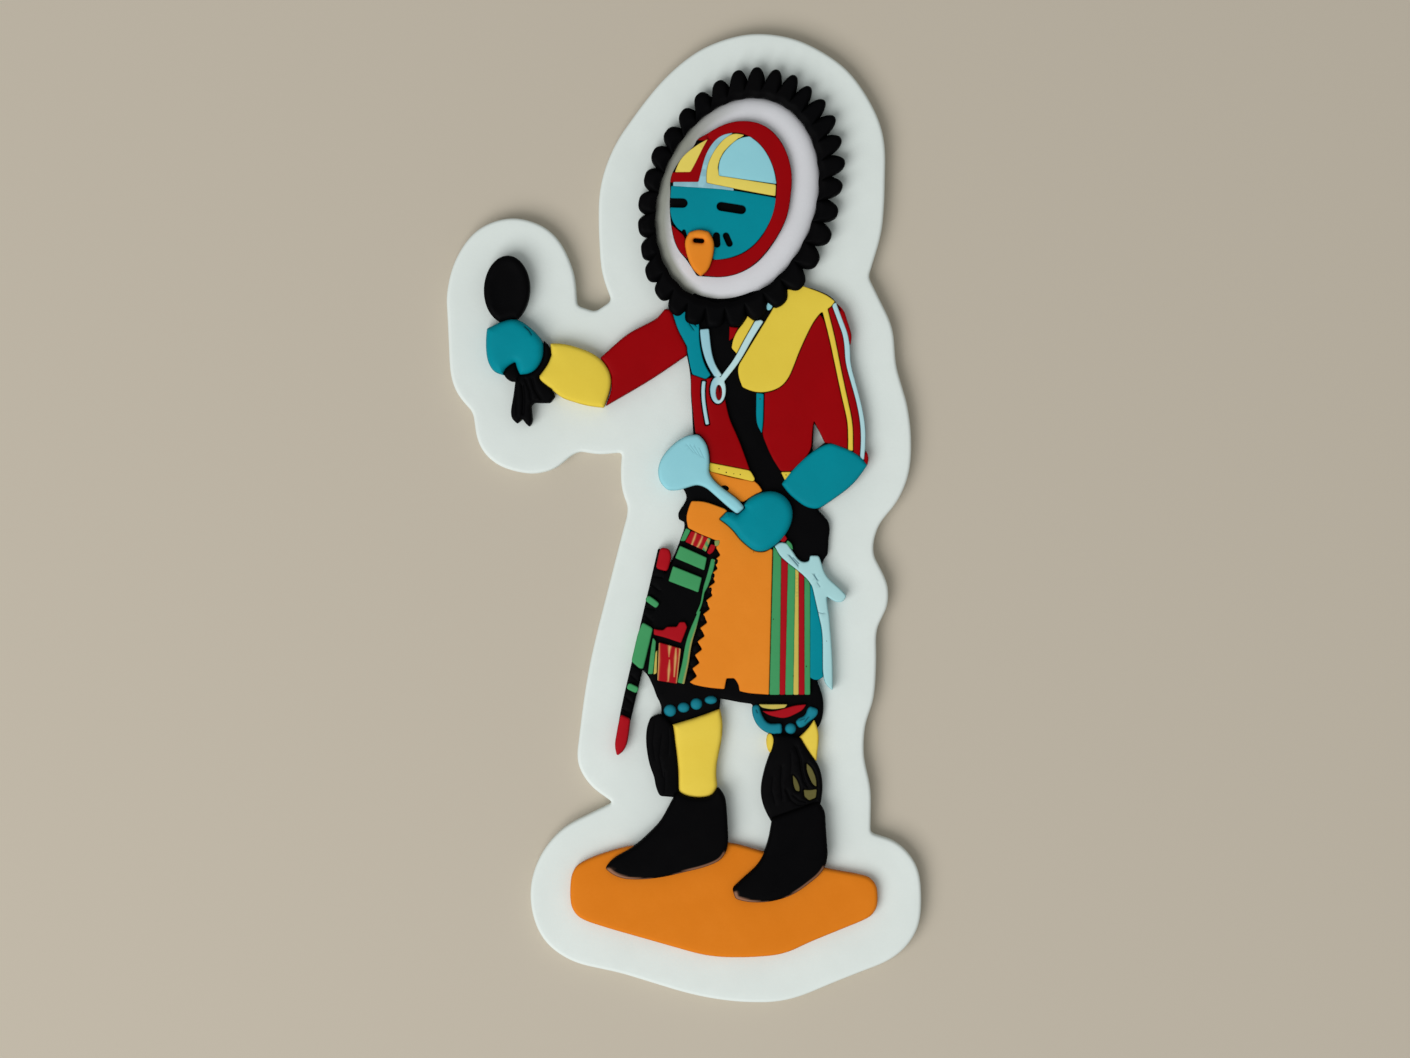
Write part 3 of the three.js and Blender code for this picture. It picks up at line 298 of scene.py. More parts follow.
def pvc(name, colour, other, rough=0.58, shine=0.05, grain=0.12, mottle=0.5, rim=None, rim_width=0.1,
        tone=None):
    """Soft PVC. Two tones of its colour mix in soft clouds and a fine mottle, its skin has a fine
    grain, it takes some of the rim colour next to its outline, and the tone colour where the piece's
    tone says so."""
    material = bpy.data.materials.new(name)
    material.use_nodes = True
    tree = material.node_tree
    shader = tree.nodes["Principled BSDF"]
    shader.inputs["Specular IOR Level"].default_value = shine
    place = tree.nodes.new("ShaderNodeTexCoord").outputs["Object"]

    def spread(value, low, high, out_low, out_high):
        """The range from low to high stretched to the outer numbers."""
        node = tree.nodes.new("ShaderNodeMapRange")
        for socket, number in zip(node.inputs[1:5], (low, high, out_low, out_high)):
            socket.default_value = number
        tree.links.new(value, node.inputs[0])
        return node.outputs[0]

    def noise(size, detail, low, high, out_low=0.0, out_high=1.0):
        """Noise with features of that size in mm."""
        texture = tree.nodes.new("ShaderNodeTexNoise")
        texture.inputs["Scale"].default_value = 1 / (size * MM)
        texture.inputs["Detail"].default_value = detail
        tree.links.new(place, texture.inputs["Vector"])
        return spread(texture.outputs["Fac"], low, high, out_low, out_high)

    def mix(share, first, second):
        """Two colours mixed by a share from 0 to 1."""
        node = tree.nodes.new("ShaderNodeMix")
        node.data_type = "RGBA"
        tree.links.new(share, node.inputs[0])
        for socket, value in ((node.inputs[6], first), (node.inputs[7], second)):
            if isinstance(value, tuple):
                socket.default_value = value
            else:
                tree.links.new(value, socket)
        return node.outputs[2]

    def measure(attribute):
        """A piece's own number for each vertex."""
        node = tree.nodes.new("ShaderNodeAttribute")
        node.attribute_name = attribute
        return node.outputs["Fac"]

    skin = mix(noise(5, 2, 0.35, 0.65, 0, mottle), linear(colour), linear(other))
    skin = mix(noise(0.35, 3, 0.4, 0.7, 0, mottle * 0.4), skin, linear(other))
    if rim:
        patchy = tree.nodes.new("ShaderNodeMath")
        patchy.operation = "MULTIPLY"
        tree.links.new(spread(measure("rim"), 0, rim_width, 1, 0), patchy.inputs[0])
        tree.links.new(noise(0.9, 2, 0.35, 0.6, 0.35, 1.0), patchy.inputs[1])
        skin = mix(patchy.outputs[0], skin, linear(rim))
    if tone:
        skin = mix(measure("tone"), skin, linear(tone))
    tree.links.new(skin, shader.inputs["Base Color"])
    tree.links.new(noise(1.2, 3, 0.3, 0.7, rough - 0.07, rough + 0.07), shader.inputs["Roughness"])
    bump = tree.nodes.new("ShaderNodeBump")
    bump.inputs["Strength"].default_value = grain
    bump.inputs["Distance"].default_value = 0.05 * MM
    tree.links.new(noise(0.18, 3, 0, 1), bump.inputs["Height"])
    tree.links.new(bump.outputs["Normal"], shader.inputs["Normal"])
    return material


white_pvc = pvc("white_pvc", (223, 230, 226), (217, 224, 220), rough=0.65, grain=0.2)
low, backing_top = levels("backing")
backing = poured("backing_sheet", outlines_of("backing", fit=0, corner=0.5), backing_top - 0.02, low,
                 white_pvc, "backing_white", edge=0.35, crown=0.0, wave=0.02, mesh_size=0.6)
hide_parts("backing")

# Black ground
# One pour of black PVC behind the coloured body. It shows as strap, belt, bag, sash, staff, hem and
# knees, and as the thin dark lines between the colours. Notches cross it along the staff.
STAFF = [(-2.05, -3.2), (-3.4, -9.2), (-4.7, -14.7), (-6.1, -21.0)]  # its middle line, downwards
STAFF_NOTCHES = 17


def staff_notches():
    """Short grooves across the staff, at even steps along it, each leaning a little differently."""
    x, y = np.array(STAFF).T
    found = []
    for i in range(STAFF_NOTCHES):
        share = (i + 0.5) / STAFF_NOTCHES * (len(x) - 1)
        here = np.array([np.interp(share, range(len(x)), x), np.interp(share, range(len(y)), y)])
        lean = 0.5 + 0.35 * np.sin(2.3 * i)
        half = 0.42 * np.array([np.cos(lean), -np.sin(lean)])
        found.append(([here - half, here, here + half], 0.16, 0.12))
    return found


# The tone colour of black_pvc is the painted brown reflection along the boots' lower edges.
black_pvc = pvc("black_pvc", (5, 5, 6), (9, 8, 9), rough=0.6, shine=0.02, grain=0.25, tone=(146, 106, 84))
plain_black_pvc = pvc("plain_black_pvc", (5, 5, 6), (9, 8, 9), rough=0.55, shine=0.025, grain=0.25)
low, ground_top = levels("black_ground")
ground_outline = outlines_of("black_ground", fit=0.02, parts=2)
ground = poured("black_ground_pour", ground_outline, ground_top, low, plain_black_pvc, "black_pvc",
                edge=0.3, crown=0.08, wave=0.03, scores=staff_notches())
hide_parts("black_ground")


def on_black_or_white(points):
    """The level under a piece that lies half on the black ground and half on the white backing."""
    return np.where(inside(points, ground_outline), ground_top, backing_top - 0.05)


# Head disc
# The pale lilac grey pour of the head, inside the ruff. It swells a little and rolls off towards the
# ruff, and on the left and below its outer part is painted olive grey shade, the shadow of the ruff.
HEAD_TILT = np.radians(-21)
DISC_CENTRE = (5.3, 31.8)
DISC_HALF = (7.8, 10.55)


def painted_shade_side(x, y):
    """Painted shade of the disc, where the ruff shadows it: in its own tilted oval coordinates it grows
    over the outer part, which is widest on the left, and with the turn away from the upper right."""
    across, up = x - DISC_CENTRE[0], y - DISC_CENTRE[1]
    c, s = np.cos(HEAD_TILT), np.sin(HEAD_TILT)
    u, v = (c * across + s * up) / DISC_HALF[0], (c * up - s * across) / DISC_HALF[1]
    reach, angle = np.hypot(u, v), np.arctan2(v, u)
    turned = 0.5 - 0.5 * np.cos(angle - np.radians(30))
    first = 0.91 - 0.12 * np.clip(-np.cos(angle), 0, 1)
    return np.clip((reach - first) / 0.05, 0, 1) * np.clip(2.6 * turned - 1.1, 0, 1)


# The tone colour of the disc is painted olive grey shade.
grey_pvc = pvc("grey_pvc", (219, 219, 223), (210, 211, 214), rough=0.62, grain=0.2, tone=(154, 156, 146))
low, disc_top = levels("head_disc")
disc = poured("head_disc_pour", outlines_of("head_disc", fit=0.1), disc_top, low, grey_pvc, "head_grey",
              edge=1.4, fall=0.4, crown=0.16, tone=painted_shade_side)
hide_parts("head_disc")

# Ruff
# A ring of black feathers round the head, moulded in one pour. Each feather is a round ridge that
# ends in a lobe, and the ring's inner side slopes down to the disc.
RUFF_CENTRE = (5.7, 31.95)
TIPS_HALF = (9.8, 13.45)
FEATHERS = 31
FIRST_FEATHER = np.radians(108.75)
DRIFT_ONCE = np.radians(-4.4)  # the feathers drift from even steps round the ring
DRIFT_TWICE = np.radians(1.4)


def tilted_oval(angle, centre, half_width, half_height):
    """Points of an oval, turned by the tilt of the head."""
    x, y = half_width * np.cos(angle), half_height * np.sin(angle)
    c, s = np.cos(HEAD_TILT), np.sin(HEAD_TILT)
    return np.stack([centre[0] + c * x - s * y, centre[1] + s * x + c * y], -1)


def ruff_surface(even, across):
    """The ring as a function of the even angle of the feathers and of the share of the way across,
    from the tips in. The real angle drifts from the even one by two sines. The outer oval is cut by
    a notch between each two feathers, deeper and wider at the upper right. The height is a ridge over
    each feather, with a round fall at its tip and a slope at the inner side."""
    angle = even + FIRST_FEATHER + DRIFT_ONCE * np.sin(even) + DRIFT_TWICE * np.sin(2 * even)
    off_tip = 2 * np.abs((FEATHERS * even / (2 * np.pi) + 0.5) % 1 - 0.5)
    upper = 0.5 + 0.5 * np.cos(angle - np.radians(60))
    uneven = 0.1 * np.sin(5 * even + 1) + 0.07 * np.sin(12 * even)
    notch = (0.75 + 0.65 * upper) * off_tip ** (3.2 - upper) - uneven
    outer = tilted_oval(angle, RUFF_CENTRE, TIPS_HALF[0] - notch, TIPS_HALF[1] - notch)
    wavy = 0.06 * np.cos(FEATHERS * even)
    inner = tilted_oval(angle, DISC_CENTRE, DISC_HALF[0] + wavy, DISC_HALF[1] + wavy)
    flat = outer + (inner - outer) * across[..., None]
    wide = np.linalg.norm(inner - outer, axis=-1)
    depth, left = wide * across, wide * (1 - across)
    groove = 0.55 * off_tip**3 * np.clip(1.3 - depth / 0.9, 0, 1)
    slope = 0.3 * np.clip(1 - left / 0.6, 0, 1) ** 1.3
    height = ruff_top - 0.45 * round_edge(depth, 0.55) - groove - slope
    return np.concatenate([flat, height[..., None]], -1)


def ring_faces(rows, columns):
    """Quads between the rows and columns of a grid that closes both ways."""
    i, j = np.meshgrid(np.arange(rows), np.arange(columns), indexing="ij")
    down, on = (i + 1) % rows, (j + 1) % columns
    corners = (i * columns + j, i * columns + on, down * columns + on, down * columns + j)
    return np.stack(corners, -1).reshape(-1, 4)


low, ruff_top = levels("feather_ruff")
even = np.linspace(0, 2 * np.pi, FEATHERS * 24, endpoint=False)
across = np.concatenate([[0, 0.01, 0.03, 0.06, 0.1, 0.15, 0.21], np.linspace(0.28, 1, 12)])
shell = ruff_surface(even[None], np.repeat(across[:, None], len(even), 1))
feet = shell[[-1, 0]].copy()
feet[..., 2] = on_black_or_white(feet[..., :2].reshape(-1, 2)).reshape(2, -1)
shell = np.concatenate([shell, feet])
ruff = make_piece("feather_ruff_pour", shell.reshape(-1, 3), ring_faces(len(shell), len(even)),
                  plain_black_pvc, "black_pvc")
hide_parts("feather_ruff")


# Face
# A black pour under the face shows in the eyes and marks. On it lie the red border, the brow and the
# teal mask, each poured to the same level, and the beak stands out of them.
def repour(node, material, slot, fit=FIT, corner=0.15, low=None, **options):
    """A CAD node's own pour, on its outlines and between its levels."""
    lowest, highest = levels(node)
    low = lowest if low is None else low
    piece = poured(f"{node}_pour", outlines_of(node, fit, corner), highest, low, material, slot, **options)
    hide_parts(node)


red_pvc = pvc("red_pvc", (150, 0, 6), (139, 0, 5), rim=(112, 0, 5))
# The tone colour of teal is painted shade in its scores.
teal_pvc = pvc("teal_pvc", (0, 136, 151), (2, 127, 142), rim=(0, 110, 123), tone=(0, 60, 70))
yellow_pvc = pvc("yellow_pvc", (228, 201, 72), (222, 193, 64), rim=(200, 166, 46))
# The tone colour of light blue is painted shade in its scratches.
light_blue_pvc = pvc("light_blue_pvc", (147, 207, 217), (139, 200, 211), rim=(118, 178, 188),
                     tone=(58, 96, 108))
pale_blue_pvc = pvc("pale_blue_pvc", (154, 200, 211), (146, 193, 205), rim=(118, 162, 174),
                    tone=(188, 220, 222))
orange_pvc = pvc("orange_pvc", (230, 136, 40), (223, 128, 32), rim=(190, 100, 22))
pale_yellow_pvc = pvc("pale_yellow_pvc", (228, 208, 98), (221, 199, 90), rim=(204, 178, 76))
repour("face_ground", plain_black_pvc, "black_pvc", fit=0)
for node, material, slot in (
    ("face_border", red_pvc, "red_pvc"),
    ("cheek_red", red_pvc, "red_pvc"),
    ("brow_yellow", pale_yellow_pvc, "yellow_pvc"),
    ("brow_line", pale_blue_pvc, "pale_blue_pvc"),
    ("brow_panel", light_blue_pvc, "light_blue_pvc"),
    ("mask", teal_pvc, "teal_pvc"),
):
    repour(node, material, slot, fit=0.075, edge=0.05)
repour("brow_band", pale_yellow_pvc, "yellow_pvc", fit=0.04, edge=0.06)
repour("beak", orange_pvc, "orange_pvc", edge=0.4, fall=0.3, crown=0.05)


# Raised arm
# A red sleeve, a yellow forearm and a teal hand that holds a black rattle. Each is its own pour and
# bulges more than the face. A black tie goes round the wrist, and its knot and ends hang down.
def rattle_rim(x, y, depth):
    """A soft raised rim a little inside the edge: a bell curve of the depth."""
    return 0.1 * np.exp(-(((depth - 0.55) / 0.25) ** 2)) - 0.1 * (1 - np.exp(-depth / 0.8))


TIE_FOLDS = [
    ([(-16.15, 13.3), (-16.0, 12.0), (-16.1, 10.4)], 0.22, 0.25),
    ([(-15.2, 13.9), (-14.9, 12.8), (-14.3, 11.9)], 0.2, 0.2),
    ([(-16.65, 15.2), (-16.35, 14.4), (-16.6, 13.8)], 0.18, 0.25),
    ([(-15.9, 13.9), (-15.4, 12.7), (-15.3, 11.9)], 0.16, 0.15),
    ([(-16.75, 13.2), (-16.75, 11.8), (-16.7, 10.3)], 0.14, 0.1),
]
repour("raised_sleeve", red_pvc, "red_pvc", low=on_black_or_white, edge=0.3, crown=0.08)
repour("raised_forearm", yellow_pvc, "yellow_pvc", edge=0.4, crown=0.2)
repour("raised_hand", teal_pvc, "teal_pvc", edge=0.75, crown=0.12, wave=0.02,
       scores=[([(-15.9, 19.1), (-15.5, 18.75), (-15.2, 18.3)], 0.12, 0.1)])
repour("rattle", plain_black_pvc, "black_pvc", edge=0.4, relief=rattle_rim)
repour("wrist_tie", plain_black_pvc, "black_pvc", edge=0.35, crown=0.12, scores=TIE_FOLDS)


# Neck and shirt
# The teal collar, a pale necklace with a ring pendant, and the red shirt under a yellow yoke whose
# stripe runs down the sleeve. All are low pours on the black ground, which shows between them.
def oval(x, y, half_width, half_height, turn=0.0):
    """Outline of an oval, turned by that many degrees."""
    angle = np.linspace(0, 2 * np.pi, 16, endpoint=False)
    across, up = half_width * np.cos(angle), half_height * np.sin(angle)
    c, s = np.cos(np.radians(turn)), np.sin(np.radians(turn))
    return np.stack([x + c * across - s * up, y + s * across + c * up], 1)


def band(path):
    """Outline of a strip along a path of (x, y, width): half the width to each side, square across it."""
    path = np.array(path, float)
    along = np.gradient(path[:, :2], axis=0)
    left = np.stack([-along[:, 1], along[:, 0]], 1) / np.linalg.norm(along, axis=1)[:, None]
    offset = left * path[:, 2:] / 2
    return np.concatenate([path[:, :2] - offset, (path[:, :2] + offset)[::-1]])


def small_pour(name, outlines, high, low, material, slot, corner=0.15, edge=0.08, **options):
    """One or more small drops of one colour, as one piece."""
    loops = [rounded(loop, corner) for loop in outlines]
    return poured(name, loops, high, low, material, slot, edge=edge, mesh_size=0.25, **options)


def pale_side(x, y):
    """Tone of the necklace: its right strand and pendant are paler than the left strand."""
    return np.clip((x - 2.9) / 0.8, 0, 1)


COLOUR_TOP = levels("collar")[1]
MARKS_LOW = COLOUR_TOP - 0.2  # pinholes and marks reach this far down
repour("collar", teal_pvc, "teal_pvc",
       scores=[([(0.55, 19.4), (0.95, 18.85)], 0.09, 0.08), ([(0.8, 19.75), (1.2, 19.2)], 0.09, 0.08)])
repour("necklace", pale_blue_pvc, "pale_blue_pvc", fit=0, edge=0.12, mesh_size=0.3, tone=pale_side)
repour("neck_yellow", yellow_pvc, "yellow_pvc")
repour("neck_red", red_pvc, "red_pvc")
small_pour("necklace_end", [oval(8.55, 21.2, 0.3, 0.45, -20)], COLOUR_TOP, ground_top, light_blue_pvc,
           "light_blue_pvc")
repour("shirt_left", red_pvc, "red_pvc", fit=0.02)
small_pour("pendant_filling", [oval(3.5, 12.6, 0.36, 0.84)], COLOUR_TOP - 0.12, ground_top, red_pvc,
           "red_pvc")
CURL = [(3.2, 13.25, 0.12), (3.42, 13.3, 0.16), (3.55, 12.9, 0.12), (3.5, 12.5, 0.06)]
small_pour("pendant_curl", [band(CURL)], COLOUR_TOP - 0.08, MARKS_LOW, plain_black_pvc, "black_pvc",
           edge=0.03, crown=0)
repour("chest_line", pale_blue_pvc, "pale_blue_pvc", fit=0.0, tone=lambda x, y: 0.4 + 0 * x)
small_pour("chest_line_end", [oval(2.32, 9.0, 0.1, 0.24, 5)], COLOUR_TOP, MARKS_LOW, plain_black_pvc,
           "black_pvc", edge=0.03, crown=0)
repour("shirt_hem_left", yellow_pvc, "yellow_pvc", corner=0.3)
small_pour("shirt_hem_right", [[(9.7, 4.6), (10.75, 4.62), (10.1, 3.75)]], COLOUR_TOP, ground_top, yellow_pvc,
           "yellow_pvc")
repour("shirt_yoke", yellow_pvc, "yellow_pvc", fit=0.03)
repour("shirt_right", red_pvc, "red_pvc", fit=0.03)
repour("chest_tab", teal_pvc, "teal_pvc", fit=0.02)
repour("sleeve_outer", red_pvc, "red_pvc", fit=0.03)
repour("sleeve_piping", pale_blue_pvc, "pale_blue_pvc", tone=lambda x, y: 0.6 + 0 * x)
repour("sleeve_trim", red_pvc, "red_pvc", low=on_black_or_white, fit=0.08, edge=0.15)
small_pour("sleeve_trim_lower", [[(18.2, 6.75), (18.48, 6.1), (18.34, 5.25), (17.98, 5.35), (18.02, 6.2)]],
           COLOUR_TOP, on_black_or_white, red_pvc, "red_pvc", edge=0.15)
SHIRT_PINHOLES = [(3.5, 4.92, 0.05), (4.22, 4.55, 0.06), (4.98, 4.42, 0.04), (5.62, 4.35, 0.05),
                  (7.6, 11.9, 0.06), (10.2, 4.3, 0.05)]
hole_pvc = pvc("hole_pvc", (58, 40, 30), (44, 30, 24))
small_pour("shirt_pinholes", [oval(x, y, wide, 1.3 * wide) for x, y, wide in SHIRT_PINHOLES],
           COLOUR_TOP + 0.025, MARKS_LOW, hole_pvc, "black_pvc", edge=0.02, crown=0, wave=0)

# Waist and lower hand
# The teal cuff and hand stand out from the orange waist. A light blue rattle in the shape of a spoon
# crosses from the white backing to the hand, and lies on it with its stem.
SCRATCHES = [([(0.3 + 0.42 * i, 7.3 - 0.12 * i), (0.95 + 0.36 * i, 6.55 - 0.2 * i)], 0.05, 0.02)
             for i in range(4)]
repour("cuff", teal_pvc, "teal_pvc", fit=0.14, low=on_black_or_white, edge=0.4, crown=0.12, wave=0.02)
repour("waist", orange_pvc, "orange_pvc")
small_pour("waist_speck", [oval(4.1, 3.0, 0.42, 0.27, -15)], COLOUR_TOP + 0.03, MARKS_LOW, plain_black_pvc,
           "black_pvc", edge=0.05, crown=0)
repour("lower_hand", teal_pvc, "teal_pvc", fit=0.03, edge=0.7, crown=0.15, wave=0.025)
repour("spoon_rattle", light_blue_pvc, "light_blue_pvc", corner=0.3, low=on_black_or_white, edge=0.4,
       crown=0.08, scores=SCRATCHES)

# Kilt
# The orange front with its toothed left edge, six stripes down the side, a teal strip and the pale
# blue ribbon that is tied at the hip. Specks and small slits are left from the pour.
green_pvc = pvc("green_pvc", (68, 152, 96), (61, 143, 88), rim=(50, 118, 70), tone=(168, 150, 84))
sash_red_pvc = pvc("sash_red_pvc", (168, 16, 28), (158, 12, 22), rim=(122, 8, 16), tone=(222, 190, 116))
dull_yellow_pvc = pvc("dull_yellow_pvc", (206, 184, 84), (192, 174, 88), rim=(150, 152, 84))
# The tone colour of the ribbon is painted shade in its slits.
ribbon_pvc = pvc("ribbon_pvc", (172, 214, 216), (163, 207, 210), rim=(134, 184, 190), tone=(70, 108, 120))
repour("kilt", orange_pvc, "orange_pvc", edge=0.12, crown=0.06, wave=0.02)
for node, material, slot in (
    ("kilt_stripe_green_inner", green_pvc, "green_pvc"),
    ("kilt_stripe_red_inner", sash_red_pvc, "sash_red_pvc"),
    ("kilt_stripe_green_middle", green_pvc, "green_pvc"),
    ("kilt_stripe_yellow", dull_yellow_pvc, "yellow_pvc"),
    ("kilt_stripe_red_outer", sash_red_pvc, "sash_red_pvc"),
    ("kilt_stripe_green_outer", green_pvc, "green_pvc"),
):
    repour(node, material, slot, fit=0.07, edge=0.06, wave=0.02, mesh_size=0.2)
repour("kilt_side", teal_pvc, "teal_pvc")
TEETH = [(3.25, -4.37), (2.9, -5.78), (2.62, -7.18), (2.19, -8.58), (1.91, -9.99), (1.63, -11.53),
         (1.21, -13.07), (0.93, -14.47), (0.65, -15.88)]
for i, (x, y) in enumerate(TEETH):
    small_pour(f"kilt_edge_tooth_{i + 1}", [oval(x, y, 0.42, 0.5, -15)], COLOUR_TOP + 0.02, ground_top,
               plain_black_pvc, "black_pvc", edge=0.35, fall=0.3)
small_pour("hip_red", [[(9.6, -2.3), (10.05, -1.65), (10.35, -2.06), (10.05, -2.42)]], COLOUR_TOP, ground_top,
           sash_red_pvc, "sash_red_pvc")
small_pour("hip_green", [[(10.2, -2.5), (10.35, -2.2), (10.8, -2.55), (10.92, -3.2), (10.6, -3.0)]],
           COLOUR_TOP, ground_top, green_pvc, "green_pvc")
RIBBON_SLITS = [
    ([(10.55, -3.75), (11.4, -4.75)], 0.12, 0.09),
    ([(10.9, -3.95), (11.5, -4.55)], 0.1, 0.07),
    ([(13.05, -5.75), (13.3, -6.15)], 0.1, 0.08),
    ([(13.35, -6.5), (13.6, -6.85)], 0.09, 0.05),
    ([(13.3, -9.4), (13.85, -9.55)], 0.08, 0.05),
]
repour("hip_ribbon", ribbon_pvc, "light_blue_pvc", corner=0.25, low=on_black_or_white, edge=0.2, crown=0.05,
       wave=0.03, scores=RIBBON_SLITS)
KILT_PINHOLES = [(8.93, -10.12, 0.05), (12.23, -14.83, 0.06), (10.9, -15.8, 0.04), (6.95, -3.4, 0.04),
                 (14.25, -12.3, 0.035)]
small_pour("kilt_pinholes", [oval(x, y, wide, 1.2 * wide) for x, y, wide in KILT_PINHOLES],
           COLOUR_TOP + 0.03, MARKS_LOW, hole_pvc, "black_pvc", edge=0.02, crown=0, wave=0)

# Sash and staff
# The sash hangs beside the kilt: red, green and yellow drops set in the black ground, some streaked
# where two colours ran together. The staff beside it is black with red and green parts.
STREAKS = [  # (x, y, width of its pale part) along each streak
    [(1.2, -1.5, 0.07), (1.0, -2.1, 0.1), (0.75, -2.75, 0.06)],
    [(1.85, -1.85, 0.06), (1.62, -2.4, 0.11), (1.3, -3.05, 0.08)],
    [(-2.55, -12.5, 0.1), (-2.6, -14.2, 0.16), (-2.7, -16.3, 0.12)],
    [(-1.4, -12.7, 0.16), (-1.47, -13.2, 0.1), (-1.5, -13.8, 0.03)],
    [(-1.45, -14.3, 0.04), (-1.5, -15.2, 0.12), (-1.58, -16.3, 0.05)],
    [(-0.8, -13.0, 0.05), (-0.85, -14.0, 0.12), (-0.98, -15.8, 0.05)],
    [(-0.4, -13.1, 0.07), (-0.55, -14.6, 0.05), (-0.7, -16.4, 0.07)],
]


def sash_streaks(x, y):
    """Tone of the streaked reds: each pale streak falls off from its line as a bell curve, and its
    width changes along it."""
    found = np.zeros(len(x))
    for streak in STREAKS:
        line_x, line_y, wide = np.array(streak)[::-1].T
        away = (x - np.interp(y, line_y, line_x)) / np.interp(y, line_y, wide)
        inner = (y > line_y[0] - 0.1) & (y < line_y[-1] + 0.1)
        found = np.maximum(found, 0.7 * np.exp(-(away**2)) * inner)
    return found


def tan_side(x, y):
    """Tone of the green edge: its right side runs over to tan."""
    middle = np.interp(y, [-16.5, -14.6, -12.6, -10.9, -9.3], [-0.3, 0.15, 0.45, 1.0, 1.55])
    return 0.85 * np.clip((x - middle - 0.11) / 0.1, 0, 1) * np.clip((-10 - y) / 2, 0, 1)


repour("sash_top_red", sash_red_pvc, "sash_red_pvc", fit=0.03, mesh_size=0.08, tone=sash_streaks)
for node, corners in (
    ("sash_block_upper", [(-0.4, -2.76), (2.3, -3.96), (2.04, -5.24), (-0.9, -4.0)]),
    ("sash_block_lower", [(-1.1, -4.8), (1.8, -5.96), (1.44, -7.44), (-1.56, -6.3)]),
):
    block = small_pour(f"{node}_pour", [corners], COLOUR_TOP, on_black_or_white, green_pvc, "green_pvc",
                       edge=0.12)
    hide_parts(node)
repour("sash_edge", green_pvc, "green_pvc", fit=0.03, mesh_size=0.12, tone=tan_side)
repour("sash_steps", sash_red_pvc, "sash_red_pvc", fit=0.03, edge=0.12)
repour("sash_streaked", sash_red_pvc, "sash_red_pvc", fit=0.06, mesh_size=0.08, tone=sash_streaks)
small_pour("sash_top_green", [[(0.2, -1.0), (0.68, -1.22), (0.12, -2.3), (-0.38, -2.3)]], COLOUR_TOP,
           on_black_or_white, green_pvc, "green_pvc")
small_pour("sash_top_mixed", [[(2.36, -1.95), (2.7, -2.05), (2.2, -3.4), (1.78, -3.12)]], COLOUR_TOP + 0.02,
           ground_top, green_pvc, "green_pvc", tone=lambda x, y: np.clip(0.5 + np.sin(6 * y + 9 * x), 0, 1))
small_pour("sash_top_bit", [[(2.7, -2.6), (3.2, -2.76), (2.95, -3.4), (2.54, -3.66), (2.28, -3.44)]],
           COLOUR_TOP, ground_top, sash_red_pvc, "sash_red_pvc")
small_pour("sash_corner_green", [[(3.04, -2.25), (3.6, -2.2), (3.5, -2.76), (3.1, -2.85)]], COLOUR_TOP + 0.05,
           ground_top, green_pvc, "green_pvc", tone=lambda x, y: 0.5 + 0 * x)
CORD = [(2.95, -4.1, 0.45), (2.6, -5.6, 0.5), (2.15, -6.9, 0.42), (1.95, -7.4, 0.2), (1.75, -8.6, 0.2),
        (1.3, -9.6, 0.22)]
small_pour("sash_cord", [band(CORD)], COLOUR_TOP, ground_top, green_pvc, "green_pvc")
STRIP = [(-3.1, -11.95), (-2.8, -12.3), (-2.92, -14.0), (-3.1, -15.6), (-3.62, -15.6), (-3.42, -14.0),
         (-3.25, -12.7)]
small_pour("sash_strip", [STRIP], COLOUR_TOP, on_black_or_white, green_pvc, "green_pvc")
small_pour("sash_strip_yellow", [[(-2.85, -13.4), (-2.66, -13.2), (-2.72, -15.5), (-3.05, -15.66)]],
           COLOUR_TOP, ground_top, dull_yellow_pvc, "yellow_pvc", edge=0.05)
repour("staff_top", sash_red_pvc, "sash_red_pvc", low=on_black_or_white, corner=0.35, edge=0.25, crown=0.1)
repour("staff_green", green_pvc, "green_pvc", low=on_black_or_white, corner=0.25, edge=0.18, crown=0.05)
repour("staff_tip", sash_red_pvc, "sash_red_pvc", low=on_black_or_white, corner=0.3, edge=0.25, crown=0.1)
small_pour("staff_rings", [band([(-3.75, -7.95, 0.6), (-3.2, -8.35, 0.68), (-2.6, -8.8, 0.6)]),
                           band([(-5.65, -16.75, 0.6), (-5.15, -17.0, 0.68), (-4.6, -17.25, 0.6)])],
           COLOUR_TOP + 0.05, on_black_or_white, green_pvc, "green_pvc", corner=0.25, edge=0.15)

# Knees and beads
# Both knees are bound with strings of teal beads on the black ground. Behind the right one a red
# and yellow lining shows, and its cord is one long bead.
# The tone colour of the beads is painted shade in their grooves.
bead_pvc = pvc("bead_pvc", (28, 128, 146), (18, 114, 132), rim=(8, 74, 90), tone=(8, 40, 52))
LEFT_BEADS = [(-1.4, -19.27, 0.64, 0.63), (-0.04, -18.95, 0.61, 0.52), (1.24, -18.6, 0.61, 0.6),
              (2.68, -18.2, 0.63, 0.43)]
RIGHT_BEAD = (10.66, -21.07, 0.58, 0.58)
JOINED_BEADS = [(11.3, -20.7, 0.75), (11.75, -20.45, 1.05), (12.2, -20.15, 0.8), (12.55, -19.85, 0.9),
                (12.85, -19.4, 1.2), (13.0, -18.95, 0.9)]
BEAD_TOP = COLOUR_TOP - 0.1
for i, bead in enumerate(LEFT_BEADS + [RIGHT_BEAD]):
    small_pour(f"knee_bead_{i + 1}", [oval(*bead)], BEAD_TOP, ground_top, bead_pvc, "teal_pvc",
               edge=0.42, fall=0.4, crown=0.2)
